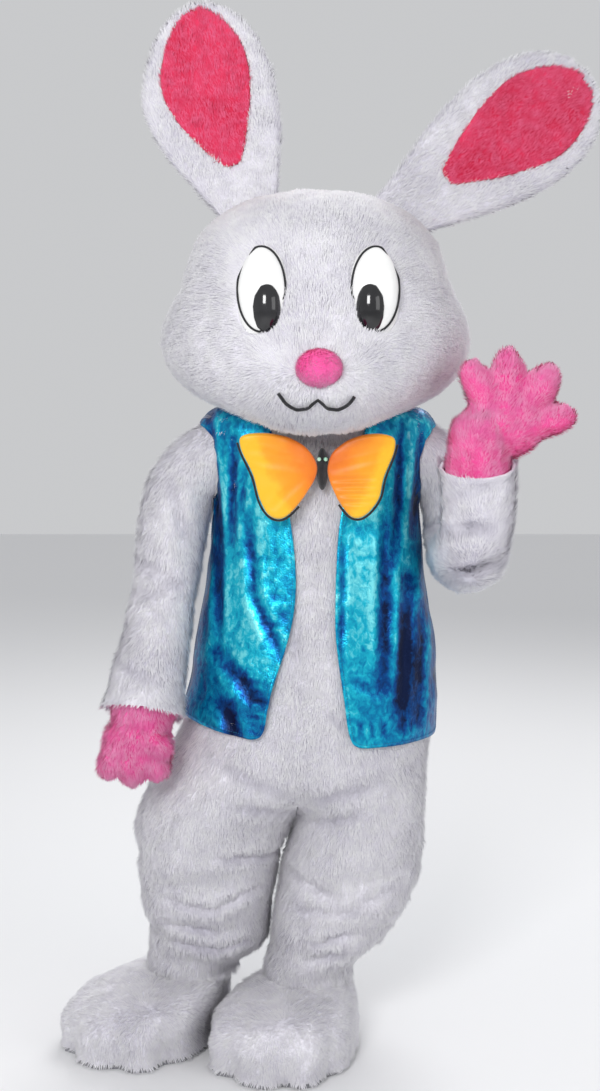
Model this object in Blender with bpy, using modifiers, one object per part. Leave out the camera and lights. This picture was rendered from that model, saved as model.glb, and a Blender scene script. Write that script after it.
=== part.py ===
"""A rabbit mascot costume, worn: plush suit, waistcoat, butterfly bow tie, gloves, feet and head.

Every height in the tables is above the floor. The part's origin is at the suit's neck opening,
so one empty, which all the pieces hang on, lies SHOULDER_HEIGHT below it. The costume faces -Y.
A side is the viewer's: "right" pieces are at +X.
"""

import math

import bmesh
import bpy
import numpy as np
from mathutils import Matrix, Vector
from mathutils.bvhtree import BVHTree

# Driving sizes, in metres
SHOULDER_HEIGHT = 1.300
SEAM = 0.0003
PLUSH_WALL = 0.008
FOAM_WALL = 0.016
VEST_WALL = 0.002
GLOVE_WALL = 0.004
SHOE_WALL = 0.009
LINING_WALL = 0.003
PLACKET_WALL = 0.002
SUIT_HEM = 0.135
FLOOR_PLATE = 0.012
SOLE_INSET = 0.004
# How far the cutters of the head and of the eyes stand off them
HEAD_FIT = SEAM * 1.6
EYE_FIT = SEAM * 1.3

# How many faces go round and along a piece
SUIT_COLUMNS = 8
SLEEVE_SIDES = 14
HEAD_SIDES = 24
EAR_SIDES = 16
SHOE_SIDES = 27
QUARTER = math.pi / 2

# The suit, from the neck to the ankles. centre is the plane between its halves, right and left
# are its outer edges, and split runs from 0 (one trunk) past 1 (two legs that stand apart).
SUIT_COLUMNS_NAMES = ("height", "centre", "right", "left", "split", "deep_right", "deep_left",
                      "back_right", "back_left")
SUIT_ROWS = (
    (1.352, 0.000, 0.105, -0.105, 0.00, 0.085, 0.085, 0.000, 0.000),
    (1.346, 0.000, 0.165, -0.165, 0.00, 0.098, 0.098, 0.000, 0.000),
    (1.330, 0.000, 0.222, -0.222, 0.00, 0.114, 0.114, 0.000, 0.000),
    (1.295, 0.000, 0.242, -0.242, 0.00, 0.126, 0.126, 0.000, 0.000),
    (1.220, 0.000, 0.228, -0.228, 0.00, 0.136, 0.136, 0.000, 0.000),
    (1.130, 0.000, 0.200, -0.205, 0.00, 0.143, 0.143, 0.000, 0.000),
    (1.020, 0.000, 0.207, -0.212, 0.00, 0.147, 0.147, 0.000, 0.000),
    (0.920, 0.000, 0.222, -0.228, 0.00, 0.151, 0.151, 0.000, 0.000),
    (0.830, -0.003, 0.236, -0.243, 0.00, 0.156, 0.156, 0.000, 0.000),
    (0.740, -0.010, 0.238, -0.258, 0.00, 0.163, 0.163, 0.000, 0.000),
    (0.660, -0.020, 0.236, -0.285, 0.02, 0.168, 0.168, 0.000, 0.000),
    (0.600, -0.030, 0.233, -0.320, 0.22, 0.168, 0.168, 0.000, 0.000),
    (0.540, -0.037, 0.230, -0.355, 0.60, 0.162, 0.162, 0.000, 0.000),
    (0.490, -0.043, 0.228, -0.376, 0.98, 0.155, 0.155, 0.000, 0.002),
    (0.450, -0.053, 0.227, -0.386, 1.03, 0.150, 0.150, 0.000, 0.004),
    (0.390, -0.075, 0.224, -0.384, 1.03, 0.146, 0.146, -0.003, 0.008),
    (0.330, -0.085, 0.213, -0.380, 1.03, 0.141, 0.141, -0.008, 0.012),
    (0.280, -0.094, 0.190, -0.374, 1.03, 0.133, 0.133, -0.014, 0.015),
    (0.235, -0.098, 0.158, -0.362, 1.03, 0.122, 0.125, -0.020, 0.018),
    (0.200, -0.102, 0.120, -0.358, 1.04, 0.110, 0.116, -0.025, 0.020),
    (0.170, -0.120, 0.088, -0.360, 1.14, 0.098, 0.105, -0.029, 0.020),
    (0.153, -0.140, 0.075, -0.366, 1.31, 0.093, 0.098, -0.030, 0.020),
    (0.135, -0.140, 0.075, -0.366, 1.31, 0.093, 0.098, -0.030, 0.020),
)

# Heights of the suit's rows of points: wide apart under the vest, close where folds show
TRUNK_HEIGHTS = (1.352, 1.346, 1.330, 1.300, 1.250, 1.190, 1.130, 1.060, 0.940, 0.810)
LEG_HEIGHTS = (0.690, 0.630, 0.585, 0.545, 0.512, 0.482, 0.452, 0.420, 0.392, 0.366, 0.340,
               0.312, 0.286, 0.260, 0.234, 0.208, 0.180, 0.153, 0.135)

# The largest folds of the legs. turn is the angle round the leg from its outer side, plus to
# the front and minus to the back; lean is how much a fold drops over its reach.
FOLD_NAMES = ("side", "height", "lean", "turn", "reach", "depth", "width")
LEG_FOLDS = (
    ("right", 0.375, -0.030, 1.35, 1.10, 0.011, 0.020),
    ("right", 0.330, 0.035, 0.55, 0.90, 0.013, 0.018),
    ("right", 0.345, 0.000, 2.30, 0.80, 0.010, 0.018),
    ("right", 0.262, 0.018, 0.90, 1.20, 0.012, 0.017),
    ("right", 0.212, -0.010, 1.90, 1.10, 0.010, 0.015),
    ("right", 0.178, 0.012, 0.30, 1.20, 0.009, 0.014),
    ("right", 0.300, 0.025, -1.10, 1.20, 0.012, 0.020),
    ("right", 0.225, -0.015, -1.60, 1.20, 0.011, 0.016),
    ("right", 0.420, -0.020, -1.80, 1.00, 0.010, 0.022),
    ("left", 0.352, 0.030, 1.20, 1.20, 0.013, 0.019),
    ("left", 0.392, -0.025, 0.20, 0.80, 0.010, 0.020),
    ("left", 0.262, 0.015, 1.60, 1.20, 0.012, 0.017),
    ("left", 0.228, -0.018, 0.60, 1.00, 0.013, 0.016),
    ("left", 0.186, 0.010, 1.50, 1.30, 0.010, 0.014),
    ("left", 0.315, -0.025, -1.20, 1.20, 0.012, 0.020),
    ("left", 0.240, 0.018, -1.70, 1.10, 0.011, 0.016),
    ("left", 0.430, 0.020, -1.70, 1.00, 0.010, 0.022),
)

# Sleeves: the line down the middle, from the armhole seam, with the radius there
SLEEVE_NAMES = ("x", "y", "z", "radius")
HANGING_SLEEVE = (
    (-0.1826, 0.004, 1.257, 0.070),
    (-0.2120, 0.004, 1.238, 0.071),
    (-0.2540, 0.004, 1.211, 0.073),
    (-0.2780, 0.002, 1.178, 0.075),
    (-0.2920, -0.001, 1.138, 0.075),
    (-0.3070, -0.012, 1.055, 0.071),
    (-0.3170, -0.037, 0.960, 0.068),
    (-0.3330, -0.072, 0.870, 0.070),
    (-0.3450, -0.104, 0.795, 0.077),
    (-0.3540, -0.130, 0.728, 0.084),
)
RAISED_SLEEVE = (
    (0.1826, 0.008, 1.257, 0.070),
    (0.2120, 0.010, 1.238, 0.071),
    (0.2540, 0.013, 1.211, 0.073),
    (0.2780, 0.015, 1.178, 0.074),
    (0.2930, 0.015, 1.128, 0.073),
    (0.2980, -0.005, 1.068, 0.072),
    (0.3020, -0.055, 1.036, 0.074),
    (0.3080, -0.115, 1.050, 0.075),
    (0.3150, -0.160, 1.100, 0.073),
    (0.3160, -0.185, 1.165, 0.073),
    (0.3120, -0.205, 1.232, 0.075),
)
# Folds across a sleeve: how far along it, which way round, how far it reaches, and its size
SLEEVE_FOLD_NAMES = ("along", "lean", "turn", "reach", "depth", "width")
HANGING_FOLDS = (
    (0.22, 0.05, 2.6, 1.3, 0.010, 0.030),
    (0.38, -0.04, 0.4, 1.3, 0.008, 0.030),
    (0.52, 0.04, 3.4, 1.2, 0.009, 0.028),
    (0.62, -0.03, 1.2, 1.4, 0.009, 0.028),
    (0.76, 0.03, 4.6, 1.4, 0.009, 0.026),
    (0.88, -0.02, 2.2, 1.6, 0.010, 0.024),
)
RAISED_FOLDS = (
    (0.18, 0.04, 3.2, 1.2, 0.009, 0.028),
    (0.34, -0.03, 0.8, 1.3, 0.009, 0.028),
    (0.60, 0.03, 1.4, 1.3, 0.008, 0.026),
    (0.72, -0.04, 3.6, 1.2, 0.010, 0.026),
    (0.82, 0.03, 5.2, 1.4, 0.010, 0.024),
    (0.90, -0.02, 2.4, 1.3, 0.009, 0.022),
)
ARMHOLE_EASE = 0.007
ARMHOLE_REACH = 0.015

# The vest lies this far off the suit; its front edges and hem are heights and places across
VEST_EASE_NAMES = ("height", "ease")
VEST_EASE = ((0.60, 0.013), (0.80, 0.012), (1.00, 0.010), (1.15, 0.008), (1.26, 0.005),
             (1.30, 0.0030), (1.335, 0.0022), (1.352, 0.0020))
VEST_EDGE_NAMES = ("height", "right", "left")
VEST_EDGE = ((0.640, 0.071, -0.118), (0.669, 0.065, -0.112), (0.763, 0.054, -0.098),
             (0.885, 0.035, -0.056), (0.980, 0.035, -0.042), (1.044, 0.037, -0.046),
             (1.123, 0.043, -0.056), (1.220, 0.072, -0.078), (1.300, 0.094, -0.096),
             (1.345, 0.101, -0.101))
VEST_TOP = 1.344
VEST_QUARTER = 0.130
VEST_HEM = {"right": 0.657, "left": 0.668}
VEST_HEM_RISE = {"right": 0.000, "left": 0.030}
VEST_FOLD_NAMES = ("side", "from_height", "to_height", "from_turn", "to_turn", "depth", "width")
VEST_FOLDS = (
    ("left", 1.12, 0.72, 1.05, 1.25, 0.006, 0.10),
    ("left", 0.86, 0.70, 0.75, 1.30, 0.007, 0.09),
    ("left", 1.02, 0.80, 0.35, 0.55, 0.006, 0.10),
    ("right", 1.15, 0.86, 1.00, 1.25, 0.006, 0.10),
    ("right", 0.88, 0.68, 0.55, 0.80, 0.007, 0.10),
    ("right", 1.05, 0.82, 0.30, 0.45, 0.006, 0.10),
    ("left", 1.15, 0.75, -0.85, -1.15, 0.006, 0.10),
    ("right", 1.10, 0.72, -0.70, -1.05, 0.006, 0.10),
    ("right", 0.95, 0.70, -0.25, -0.40, 0.006, 0.10),
    ("left", 0.98, 0.70, -0.30, -0.45, 0.006, 0.10),
)

# The back closure, a plain strip over the centre-back seam
PLACKET_HALF_WIDTH = 0.014
PLACKET_TOP = 1.255
PLACKET_FOOT = 0.595

# The head, from the crown over the cheeks and under the chin to the neck opening
HEAD_NAMES = ("height", "across", "front", "back", "front_drop", "back_drop")
HEAD_CENTRE = (-0.004, -0.035)
HEAD_ROWS = (
    (1.7730, 0.000, 0.000, 0.000, 0.000, 0.000),
    (1.7680, 0.062, 0.055, 0.060, 0.000, 0.000),
    (1.7560, 0.125, 0.105, 0.115, 0.000, 0.000),
    (1.7300, 0.186, 0.150, 0.162, 0.002, 0.000),
    (1.6900, 0.233, 0.187, 0.202, 0.003, 0.000),
    (1.6400, 0.257, 0.212, 0.230, 0.004, 0.000),
    (1.5900, 0.268, 0.226, 0.246, 0.005, 0.000),
    (1.5450, 0.292, 0.234, 0.252, 0.006, 0.000),
    (1.5000, 0.314, 0.243, 0.252, 0.008, 0.000),
    (1.4550, 0.314, 0.255, 0.246, 0.012, 0.000),
    (1.4150, 0.297, 0.262, 0.234, 0.018, 0.000),
    (1.3840, 0.268, 0.254, 0.214, 0.028, 0.000),
    (1.3600, 0.228, 0.230, 0.186, 0.046, 0.000),
    (1.3500, 0.180, 0.192, 0.156, 0.058, 0.000),
    (1.3510, 0.138, 0.150, 0.130, 0.042, 0.000),
    (1.3630, 0.112, 0.126, 0.114, 0.026, 0.000),
)
# Soft swellings of the face: place across and up, reach and height off the plain head
SWELL_NAMES = ("x", "height", "reach_x", "reach_z", "rise")
FACE_SWELLS = (
    (-0.052, 1.372, 0.060, 0.045, 0.030),
    (0.046, 1.372, 0.060, 0.045, 0.030),
    (-0.003, 1.330, 0.050, 0.030, 0.010),
    (-0.003, 1.430, 0.060, 0.040, 0.016),
    (-0.110, 1.552, 0.055, 0.070, -0.006),
    (0.104, 1.552, 0.055, 0.070, -0.006),
)
HEAD_SEAM_Y = 0.045
# The head's columns stand this much closer together on the face than at the back
FACE_CROWDING = 0.30

# Ears: their base and lean in the plane of the face, then rows from the base to the tip
EAR_NAMES = ("along", "shift", "half_width", "thick")
EAR_RIGHT = {
    "base": (0.160, 1.730), "lean": (0.820, 0.572), "y": 0.020,
    "rows": ((-0.030, 0.000, 0.050, 0.018), (0.030, 0.000, 0.062, 0.021),
             (0.090, 0.002, 0.085, 0.023), (0.160, 0.003, 0.108, 0.024),
             (0.240, 0.002, 0.126, 0.024), (0.320, 0.000, 0.134, 0.023),
             (0.390, -0.001, 0.120, 0.021), (0.440, -0.001, 0.090, 0.019),
             (0.468, 0.000, 0.055, 0.014), (0.480, 0.000, 0.000, 0.000)),
}
EAR_LEFT = {
    "base": (-0.137, 1.725), "lean": (-0.265, 0.964), "y": 0.020,
    "rows": ((-0.035, 0.000, 0.050, 0.018), (0.020, 0.000, 0.058, 0.021),
             (0.075, 0.004, 0.087, 0.023), (0.140, 0.010, 0.112, 0.024),
             (0.205, 0.015, 0.132, 0.024), (0.270, 0.017, 0.138, 0.023),
             (0.340, 0.008, 0.118, 0.021), (0.392, 0.003, 0.085, 0.019),
             (0.425, 0.000, 0.050, 0.014), (0.440, 0.000, 0.000, 0.000)),
}
EAR_DISH = 0.012
# The lining covers these rows of the ear. On each it has this share of its full width
LINING_FIRST_ROW = 3
LINING_SHARES = (0.24, 0.56, 0.78, 0.92, 1.0, 1.0, 0.94, 0.80, 0.50)
EAR_STEPS = 13
# The rows crowd towards the tip, the sides are rounded, and the dish is shallower where the
# ear's half width is below the last value
EAR_CROWDING = 1.15
EAR_ROUNDNESS = 0.6
EAR_DISHED_HALF = 0.08

# Face pieces: place across, place in depth from the face's skin, height, and the half sizes
# across, deep and up
EYE_WHITE = ((-0.106, 0.004, 1.560, 0.052, 0.030, 0.098), (0.104, 0.004, 1.560, 0.052, 0.030, 0.098))
PUPIL = ((-0.100, 0.000, 1.540, 0.031, 0.032, 0.054), (0.098, 0.000, 1.540, 0.031, 0.032, 0.054))
NOSE = (0.000, -0.004, 1.426, 0.046, 0.036, 0.036)
MOUTH_POINTS = ((-0.075, 1.378), (-0.062, 1.360), (-0.042, 1.349), (-0.020, 1.352), (-0.003, 1.366),
                (0.014, 1.352), (0.036, 1.349), (0.056, 1.360), (0.069, 1.378))
MOUTH_RADIUS = 0.0035
MOUTH_LIFT = 0.0037

# The bow tie: outlines of its wings, and the insect's body that ties them
BOW_Y = -0.186
BOW_HALF_THICK = 0.003
BOW_ROUNDING = 0.0055
WING_RIGHT = ((0.0210, 1.246), (0.050, 1.278), (0.096, 1.294), (0.146, 1.290), (0.150, 1.262),
              (0.129, 1.208), (0.120, 1.166), (0.088, 1.130), (0.056, 1.138), (0.0210, 1.204))
WING_LEFT = ((-0.0064, 1.246), (-0.040, 1.280), (-0.092, 1.296), (-0.149, 1.292), (-0.153, 1.266),
             (-0.127, 1.210), (-0.115, 1.162), (-0.092, 1.130), (-0.058, 1.134), (-0.0064, 1.204))
# The edging runs along this share of a wing's outline, from its tip to its lower inner lobe
BOW_EDGE_FROM = 0.36
BOW_EDGE_TO = 0.86
OUTLINE_STEPS = 3
BOW_EDGE_RADIUS = 0.0025
BOW_BODY = (0.008, -0.1645, 1.224, 0.0125, 0.0290, 0.0430)

# Gloves: cuff, palm and digits as places, half sizes and a tilt in the plane of the face
DIGIT_NAMES = ("x", "y", "height", "thick", "long", "tilt", "nod")
RAISED_PALM = (0.363, -0.214, 1.322, 0.078, 0.043, 0.076)
RAISED_DIGITS = (
    (0.312, -0.226, 1.385, 0.031, 0.060, -32.0, 8.0),
    (0.366, -0.220, 1.400, 0.033, 0.062, -4.0, -4.0),
    (0.424, -0.218, 1.378, 0.034, 0.062, 34.0, -4.0),
    (0.448, -0.214, 1.320, 0.030, 0.056, 76.0, 4.0),
)
RAISED_CUFF = (0.080, 0.84)
HANGING_PALM = (-0.367, -0.150, 0.664, 0.074, 0.050, 0.062)
HANGING_DIGITS = (
    (-0.418, -0.163, 0.632, 0.029, 0.042, 24.0, 20.0),
    (-0.374, -0.172, 0.621, 0.031, 0.044, 2.0, 26.0),
    (-0.330, -0.160, 0.628, 0.029, 0.042, -20.0, 20.0),
    (-0.322, -0.178, 0.668, 0.025, 0.038, -50.0, 30.0),
)
HANGING_CUFF = (0.070, 0.74)
CUFF_TUCK = 0.022
HAND_GRAIN = 0.007
HEEL_FULLNESS = 1.05
# The shares of its faces that a hand keeps, outside and inside
HAND_FACES = {"glove_left": (0.15, 0.10), "glove_right": (0.09, 0.055)}

# Feet: rows from the floor to the ankle, about the ankle's centre
SHOE_NAMES = ("height", "mid", "front", "heel", "half_width", "toe", "egg")
SHOE_ROWS = (
    (0.0123, 0.105, 0.200, 0.208, 0.146, 0.022, 0.16),
    (0.0350, 0.105, 0.200, 0.208, 0.146, 0.022, 0.16),
    (0.0780, 0.105, 0.200, 0.210, 0.148, 0.022, 0.16),
    (0.1050, 0.095, 0.170, 0.195, 0.136, 0.018, 0.14),
    (0.1220, 0.060, 0.115, 0.156, 0.112, 0.008, 0.08),
    (0.1285, 0.000, 0.084, 0.084, 0.084, 0.000, 0.00),
    (0.1480, 0.000, 0.084, 0.084, 0.084, 0.000, 0.00),
)
COLLAR_FROM_ROW = 5
SHOES = {
    "right": {"turn": -20.0, "stretch": 0.98, "aside": -0.010},
    "left": {"turn": -35.0, "stretch": 1.00, "aside": -0.034},
}
# Powers below one make a foot's outline squarer than an oval
TOE_SQUARENESS = 0.86
SIDE_SQUARENESS = 0.92
TOES = 3
TOE_SPAN = math.radians(62)

# Colours (linear red, green, blue), roughness and metallic of each finish
FINISHES = {
    "white_plush": ((0.82, 0.81, 0.86), 0.95, 0.0),
    "pink_plush": ((0.90, 0.14, 0.32), 0.95, 0.0),
    "rose_plush": ((0.80, 0.09, 0.16), 0.95, 0.0),
    "turquoise_lame": ((0.02, 0.36, 0.55), 0.30, 0.85),
    "orange_satin": ((0.90, 0.36, 0.02), 0.45, 0.0),
    "black_felt": ((0.01, 0.01, 0.012), 0.85, 0.0),
    "eye_white": ((0.85, 0.85, 0.84), 0.30, 0.0),
    "eye_black": ((0.006, 0.006, 0.007), 0.15, 0.0),
    "white_webbing": ((0.75, 0.75, 0.78), 0.80, 0.0),
    "grey_sole": ((0.30, 0.30, 0.32), 0.90, 0.0),
}


def remove_everything():
    """Empties the scene."""
    for old in list(bpy.data.objects):
        bpy.data.objects.remove(old, do_unlink=True)


def new_collection(name):
    """Makes a collection in the scene."""
    made = bpy.data.collections.new(name)
    bpy.context.scene.collection.children.link(made)
    return made


def smooth(xs, ys):
    """Gives a function of x through the points, with no overshoot between them."""
    xs, ys = np.array(xs, float), np.array(ys, float)
    if xs[0] > xs[-1]:
        xs, ys = xs[::-1], ys[::-1]
    step = np.diff(xs)
    slope = np.diff(ys) / step
    tangent = np.zeros(len(xs))
    tangent[0], tangent[-1] = slope[0], slope[-1]
    for i in range(1, len(xs) - 1):
        if slope[i - 1] * slope[i] > 0:
            before, after = 2 * step[i] + step[i - 1], step[i] + 2 * step[i - 1]
            tangent[i] = (before + after) / (before / slope[i - 1] + after / slope[i])

    def at(x):
        x = min(max(x, xs[0]), xs[-1])
        i = min(int(np.searchsorted(xs, x, side="right")) - 1, len(step) - 1)
        t = (x - xs[i]) / step[i]
        a, b = ys[i], ys[i + 1]
        start, end = tangent[i] * step[i], tangent[i + 1] * step[i]
        return (a * (1 + 2 * t) * (1 - t) ** 2 + start * t * (1 - t) ** 2
                + b * t * t * (3 - 2 * t) - end * t * t * (1 - t))

    return at


def table(names, rows, by=None):
    """Gives a function for each column of a table, by its first column or by row number."""
    along = [row[0] for row in rows] if by is None else list(by)
    return {name: smooth(along, [row[k] for row in rows]) for k, name in enumerate(names)}


def bump(distance, width):
    """A soft hill of height 1 at distance 0."""
    return math.exp(-((distance / width) ** 2))


SUIT = table(SUIT_COLUMNS_NAMES, SUIT_ROWS)
VEST_GAP = table(VEST_EASE_NAMES, VEST_EASE)["ease"]
VEST_EDGES = table(VEST_EDGE_NAMES, VEST_EDGE)


def leg_fold(side, height, turn):
    """How far the suit's surface is pushed in by the folds of a leg at this place."""
    pushed = 0.0
    for fold in LEG_FOLDS:
        row = dict(zip(FOLD_NAMES, fold))
        away = (turn - row["turn"]) / row["reach"]
        if row["side"] == side and abs(away) < 1:
            line = row["height"] + row["lean"] * away
            fade = (1 - away * away) ** 2
            pushed += row["depth"] * fade * bump(height - line, row["width"])
            pushed -= 0.5 * row["depth"] * fade * bump(height - line - 2 * row["width"], row["width"])
    return pushed


def section(side, height):
    """One half of the suit at a height: centre x and y, half width, half depth, end angle."""
    mid, split = SUIT["centre"](height), SUIT["split"](height)
    sign = 1 if side == "right" else -1
    half = abs(SUIT[side](height) - mid) / (1 + split)
    centre = mid + sign * (split * half + SEAM / 2)
    end = math.acos(max(-1.0, min(1.0, -split)))
    return centre, SUIT["back_" + side](height), half, SUIT["deep_" + side](height), end


def suit_point(side, height, turn, pushed=0.0):
    """A point of the suit's outer surface; turn is the angle from the outer side to the front."""
    cx, cy, half, deep, _ = section(side, height)
    sign = 1 if side == "right" else -1
    return Vector((cx + sign * (half - pushed) * math.cos(turn),
                   cy - (deep - pushed) * math.sin(turn), height))


def cloth_wall(name, material, skin, us, vs, wall, closed=False, pole=False, home=None):
    """Makes a cloth piece: its outer skin at skin(u, v) and its inner one a wall's depth inside.

    u runs round the piece, anticlockwise seen from the end that v runs to. A closed piece is a
    tube. A pole draws the last row together in one point.
    """
    near = 1e-4

    def inside(u, v):
        along_u = skin(u + near, v) - skin(u - near, v)
        along_v = skin(u, v + near) - skin(u, v - near)
        return skin(u, v) - along_u.cross(along_v).normalized() * wall

    outer = [[skin(u, v) for u in us(v)] for v in vs]
    inner = [[inside(u, v) for u in us(v)] for v in vs]
    if pole:
        tip = outer[-1][0]
        outer[-1] = [tip]
        inner[-1] = [tip - (tip - middle_of(outer[-2])).normalized() * wall]
    return skinned(name, material, outer, inner, closed, home)


def middle_of(points):
    """The middle of some points."""
    return sum(points, Vector()) / len(points)


def skinned(name, material, outer, inner, closed, home):
    """Joins two grids of points, one inside the other, to a closed wall."""
    bm = bmesh.new()
    skins = [[[bm.verts.new(p) for p in row] for row in grid] for grid in (outer, inner)]

    def strip(low, high):
        count = max(len(low), len(high))
        last = count if closed else count - 1
        for i in range(last):
            j = (i + 1) % count
            ring = [low[i % len(low)], low[j % len(low)], high[j % len(high)], high[i % len(high)]]
            bm.faces.new(list(dict.fromkeys(ring)))

    for grid in skins:
        for low, high in zip(grid, grid[1:]):
            strip(low, high)
    for row in (0, -1):
        if len(skins[0][row]) > 1:
            strip(skins[0][row], skins[1][row])
    if not closed:
        for column in (0, -1):
            edge = [[grid[k][column] for k in range(len(grid))] for grid in skins]
            for k in range(len(edge[0]) - 1):
                ring = [edge[0][k], edge[0][k + 1], edge[1][k + 1], edge[1][k]]
                bm.faces.new(list(dict.fromkeys(ring)))
    return finished(name, material, bm, home, halved=True)


def loft(name, material, rings, home=None):
    """A solid through closed rings of points; a ring of one point closes an end."""
    bm = bmesh.new()
    rows = [[bm.verts.new(p) for p in ring] for ring in rings]
    for low, high in zip(rows, rows[1:]):
        count = max(len(low), len(high))
        for i in range(count):
            j = (i + 1) % count
            ring = [low[i % len(low)], low[j % len(low)], high[j % len(high)], high[i % len(high)]]
            bm.faces.new(list(dict.fromkeys(ring)))
    for row in (rows[0], rows[-1]):
        if len(row) > 1:
            bm.faces.new(row)
    return finished(name, material, bm, home, halved=True)


def finished(name, material, bm, home, halved=False):
    """Turns a bmesh into a named object with its finish, hung on the costume's empty.

    Skins that lie on each other are halved: their four-sided faces are all split one way.
    """
    if halved:
        bmesh.ops.triangulate(bm, faces=bm.faces, quad_method="FIXED", ngon_method="BEAUTY")
    bmesh.ops.recalc_face_normals(bm, faces=bm.faces)
    mesh = bpy.data.meshes.new(name)
    bm.to_mesh(mesh)
    bm.free()
    made = bpy.data.objects.new(name, mesh)
    settle(made, material, home)
    return made


def settle(made, material, home=None):
    """Gives an object its finish, collection and parent."""
    if material:
        made.data.materials.append(MATERIALS[material])
        (home or COSTUME).objects.link(made)
    else:
        CUTTERS.objects.link(made)
        made.hide_render = True
        made.display_type = "WIRE"
    made.parent = FLOOR
    if hasattr(made.data, "shade_smooth"):
        made.data.shade_smooth()
        made.data.set_sharp_from_angle(angle=math.radians(50))


def make_materials():
    """One Principled material for each finish."""
    made = {}
    for name, (colour, roughness, metallic) in FINISHES.items():
        material = bpy.data.materials.new(name)
        material.use_nodes = True
        shader = material.node_tree.nodes["Principled BSDF"]
        shader.inputs["Base Color"].default_value = (*colour, 1.0)
        shader.inputs["Roughness"].default_value = roughness
        shader.inputs["Metallic"].default_value = metallic
        made[name] = material
    return made


def boolean(target, tool, operation="DIFFERENCE"):
    """Adds a Boolean with a cutter."""
    modifier = target.modifiers.new(operation.title() + " " + tool.name, "BOOLEAN")
    modifier.operation = operation
    modifier.solver = "EXACT"
    modifier.object = tool


def add_ellipsoid(bm, place, half_sizes, turns=(0, 0, 0), sides=16, rings=10):
    """Adds a stretched sphere; turns are the angles in degrees about Z, then X, then Y."""
    made = bmesh.ops.create_uvsphere(bm, u_segments=sides, v_segments=rings, radius=1.0)
    turn = Matrix.Identity(4)
    for angle, axis in zip(turns, "ZXY"):
        turn = Matrix.Rotation(math.radians(angle), 4, axis) @ turn
    shape = Matrix.Translation(place) @ turn @ Matrix.Diagonal((*half_sizes, 1.0))
    bmesh.ops.transform(bm, matrix=shape, verts=made["verts"])


def ellipsoid(name, material, place, half_sizes, sides=16, rings=10):
    """A stretched sphere as an object of its own."""
    bm = bmesh.new()
    add_ellipsoid(bm, place, half_sizes, sides=sides, rings=rings)
    return finished(name, material, bm, None)


def make_suit():
    """Four plush panels from the shoulder to the ankle, and the strip over the back seam."""
    heights = sorted(TRUNK_HEIGHTS + LEG_HEIGHTS)
    panels = []
    for side in ("right", "left"):
        sign = 1 if side == "right" else -1

        def skin(u, height, side=side, sign=sign):
            end = section(side, height)[4]
            turn = end * u * -sign
            return suit_point(side, height, turn, leg_fold(side, height, turn))

        def columns(first, last, side=side):
            def at(height):
                _, _, _, deep, end = section(side, height)
                inset = SEAM / 2 / (end * deep)
                low, high = first + inset, last - inset
                return [low + (high - low) * k / SUIT_COLUMNS for k in range(SUIT_COLUMNS + 1)]

            return at

        for half_name, first, last in (("front", -1.0, 0.0), ("back", 0.0, 1.0)):
            if side == "left":
                first, last = -last, -first
            name = f"suit_{half_name}_{side}"
            panels.append(cloth_wall(name, "white_plush", skin, columns(first, last), heights,
                                     PLUSH_WALL))
    return panels


def make_placket():
    """The plain strip that covers the suit's back closure."""
    heights = [h for h in sorted(TRUNK_HEIGHTS + LEG_HEIGHTS) if PLACKET_FOOT <= h <= PLACKET_TOP]

    def skin(across, height):
        cx, cy, half, deep, end = section("right", height)
        mid = SUIT["centre"](height)
        off = SEAM * 2 + PLACKET_WALL
        reach = (mid + abs(across) - cx) / half
        y = cy + (deep + off) * math.sqrt(max(0.0, 1 - reach * reach))
        return Vector((mid - across, y, height))

    def columns(height):
        return [PLACKET_HALF_WIDTH * k for k in (-1, 0, 1)]

    return cloth_wall("back_placket", "white_webbing", skin, columns, heights, PLACKET_WALL)


def sleeve_frames(rows, steps):
    """Points, directions and radii evenly spaced down a sleeve's middle line."""
    places = [Vector(row[:3]) for row in rows]
    lengths = [0.0]
    for a, b in zip(places, places[1:]):
        lengths.append(lengths[-1] + (b - a).length)
    line = table(SLEEVE_NAMES, rows, by=lengths)

    def place(s):
        return Vector([line[k](s * lengths[-1]) for k in ("x", "y", "z")])

    frames = []
    side = Vector((0, 1, 0))
    for k in range(steps + 1):
        s = k / steps
        ahead = (place(min(1, s + 0.01)) - place(max(0, s - 0.01))).normalized()
        side = (side - ahead * side.dot(ahead)).normalized()
        frames.append((place(s), ahead, side.copy(), line["radius"](s * lengths[-1])))
    return frames


def sleeve_fold(folds, along, turn):
    """How far a sleeve's folds push its surface in."""
    pushed = 0.0
    for fold in folds:
        row = dict(zip(SLEEVE_FOLD_NAMES, fold))
        away = (turn - row["turn"] + math.pi) % (2 * math.pi) - math.pi
        away /= row["reach"]
        if abs(away) < 1:
            line = row["along"] + row["lean"] * away
            pushed += row["depth"] * (1 - away * away) ** 2 * bump(along - line, row["width"])
    return pushed


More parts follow.
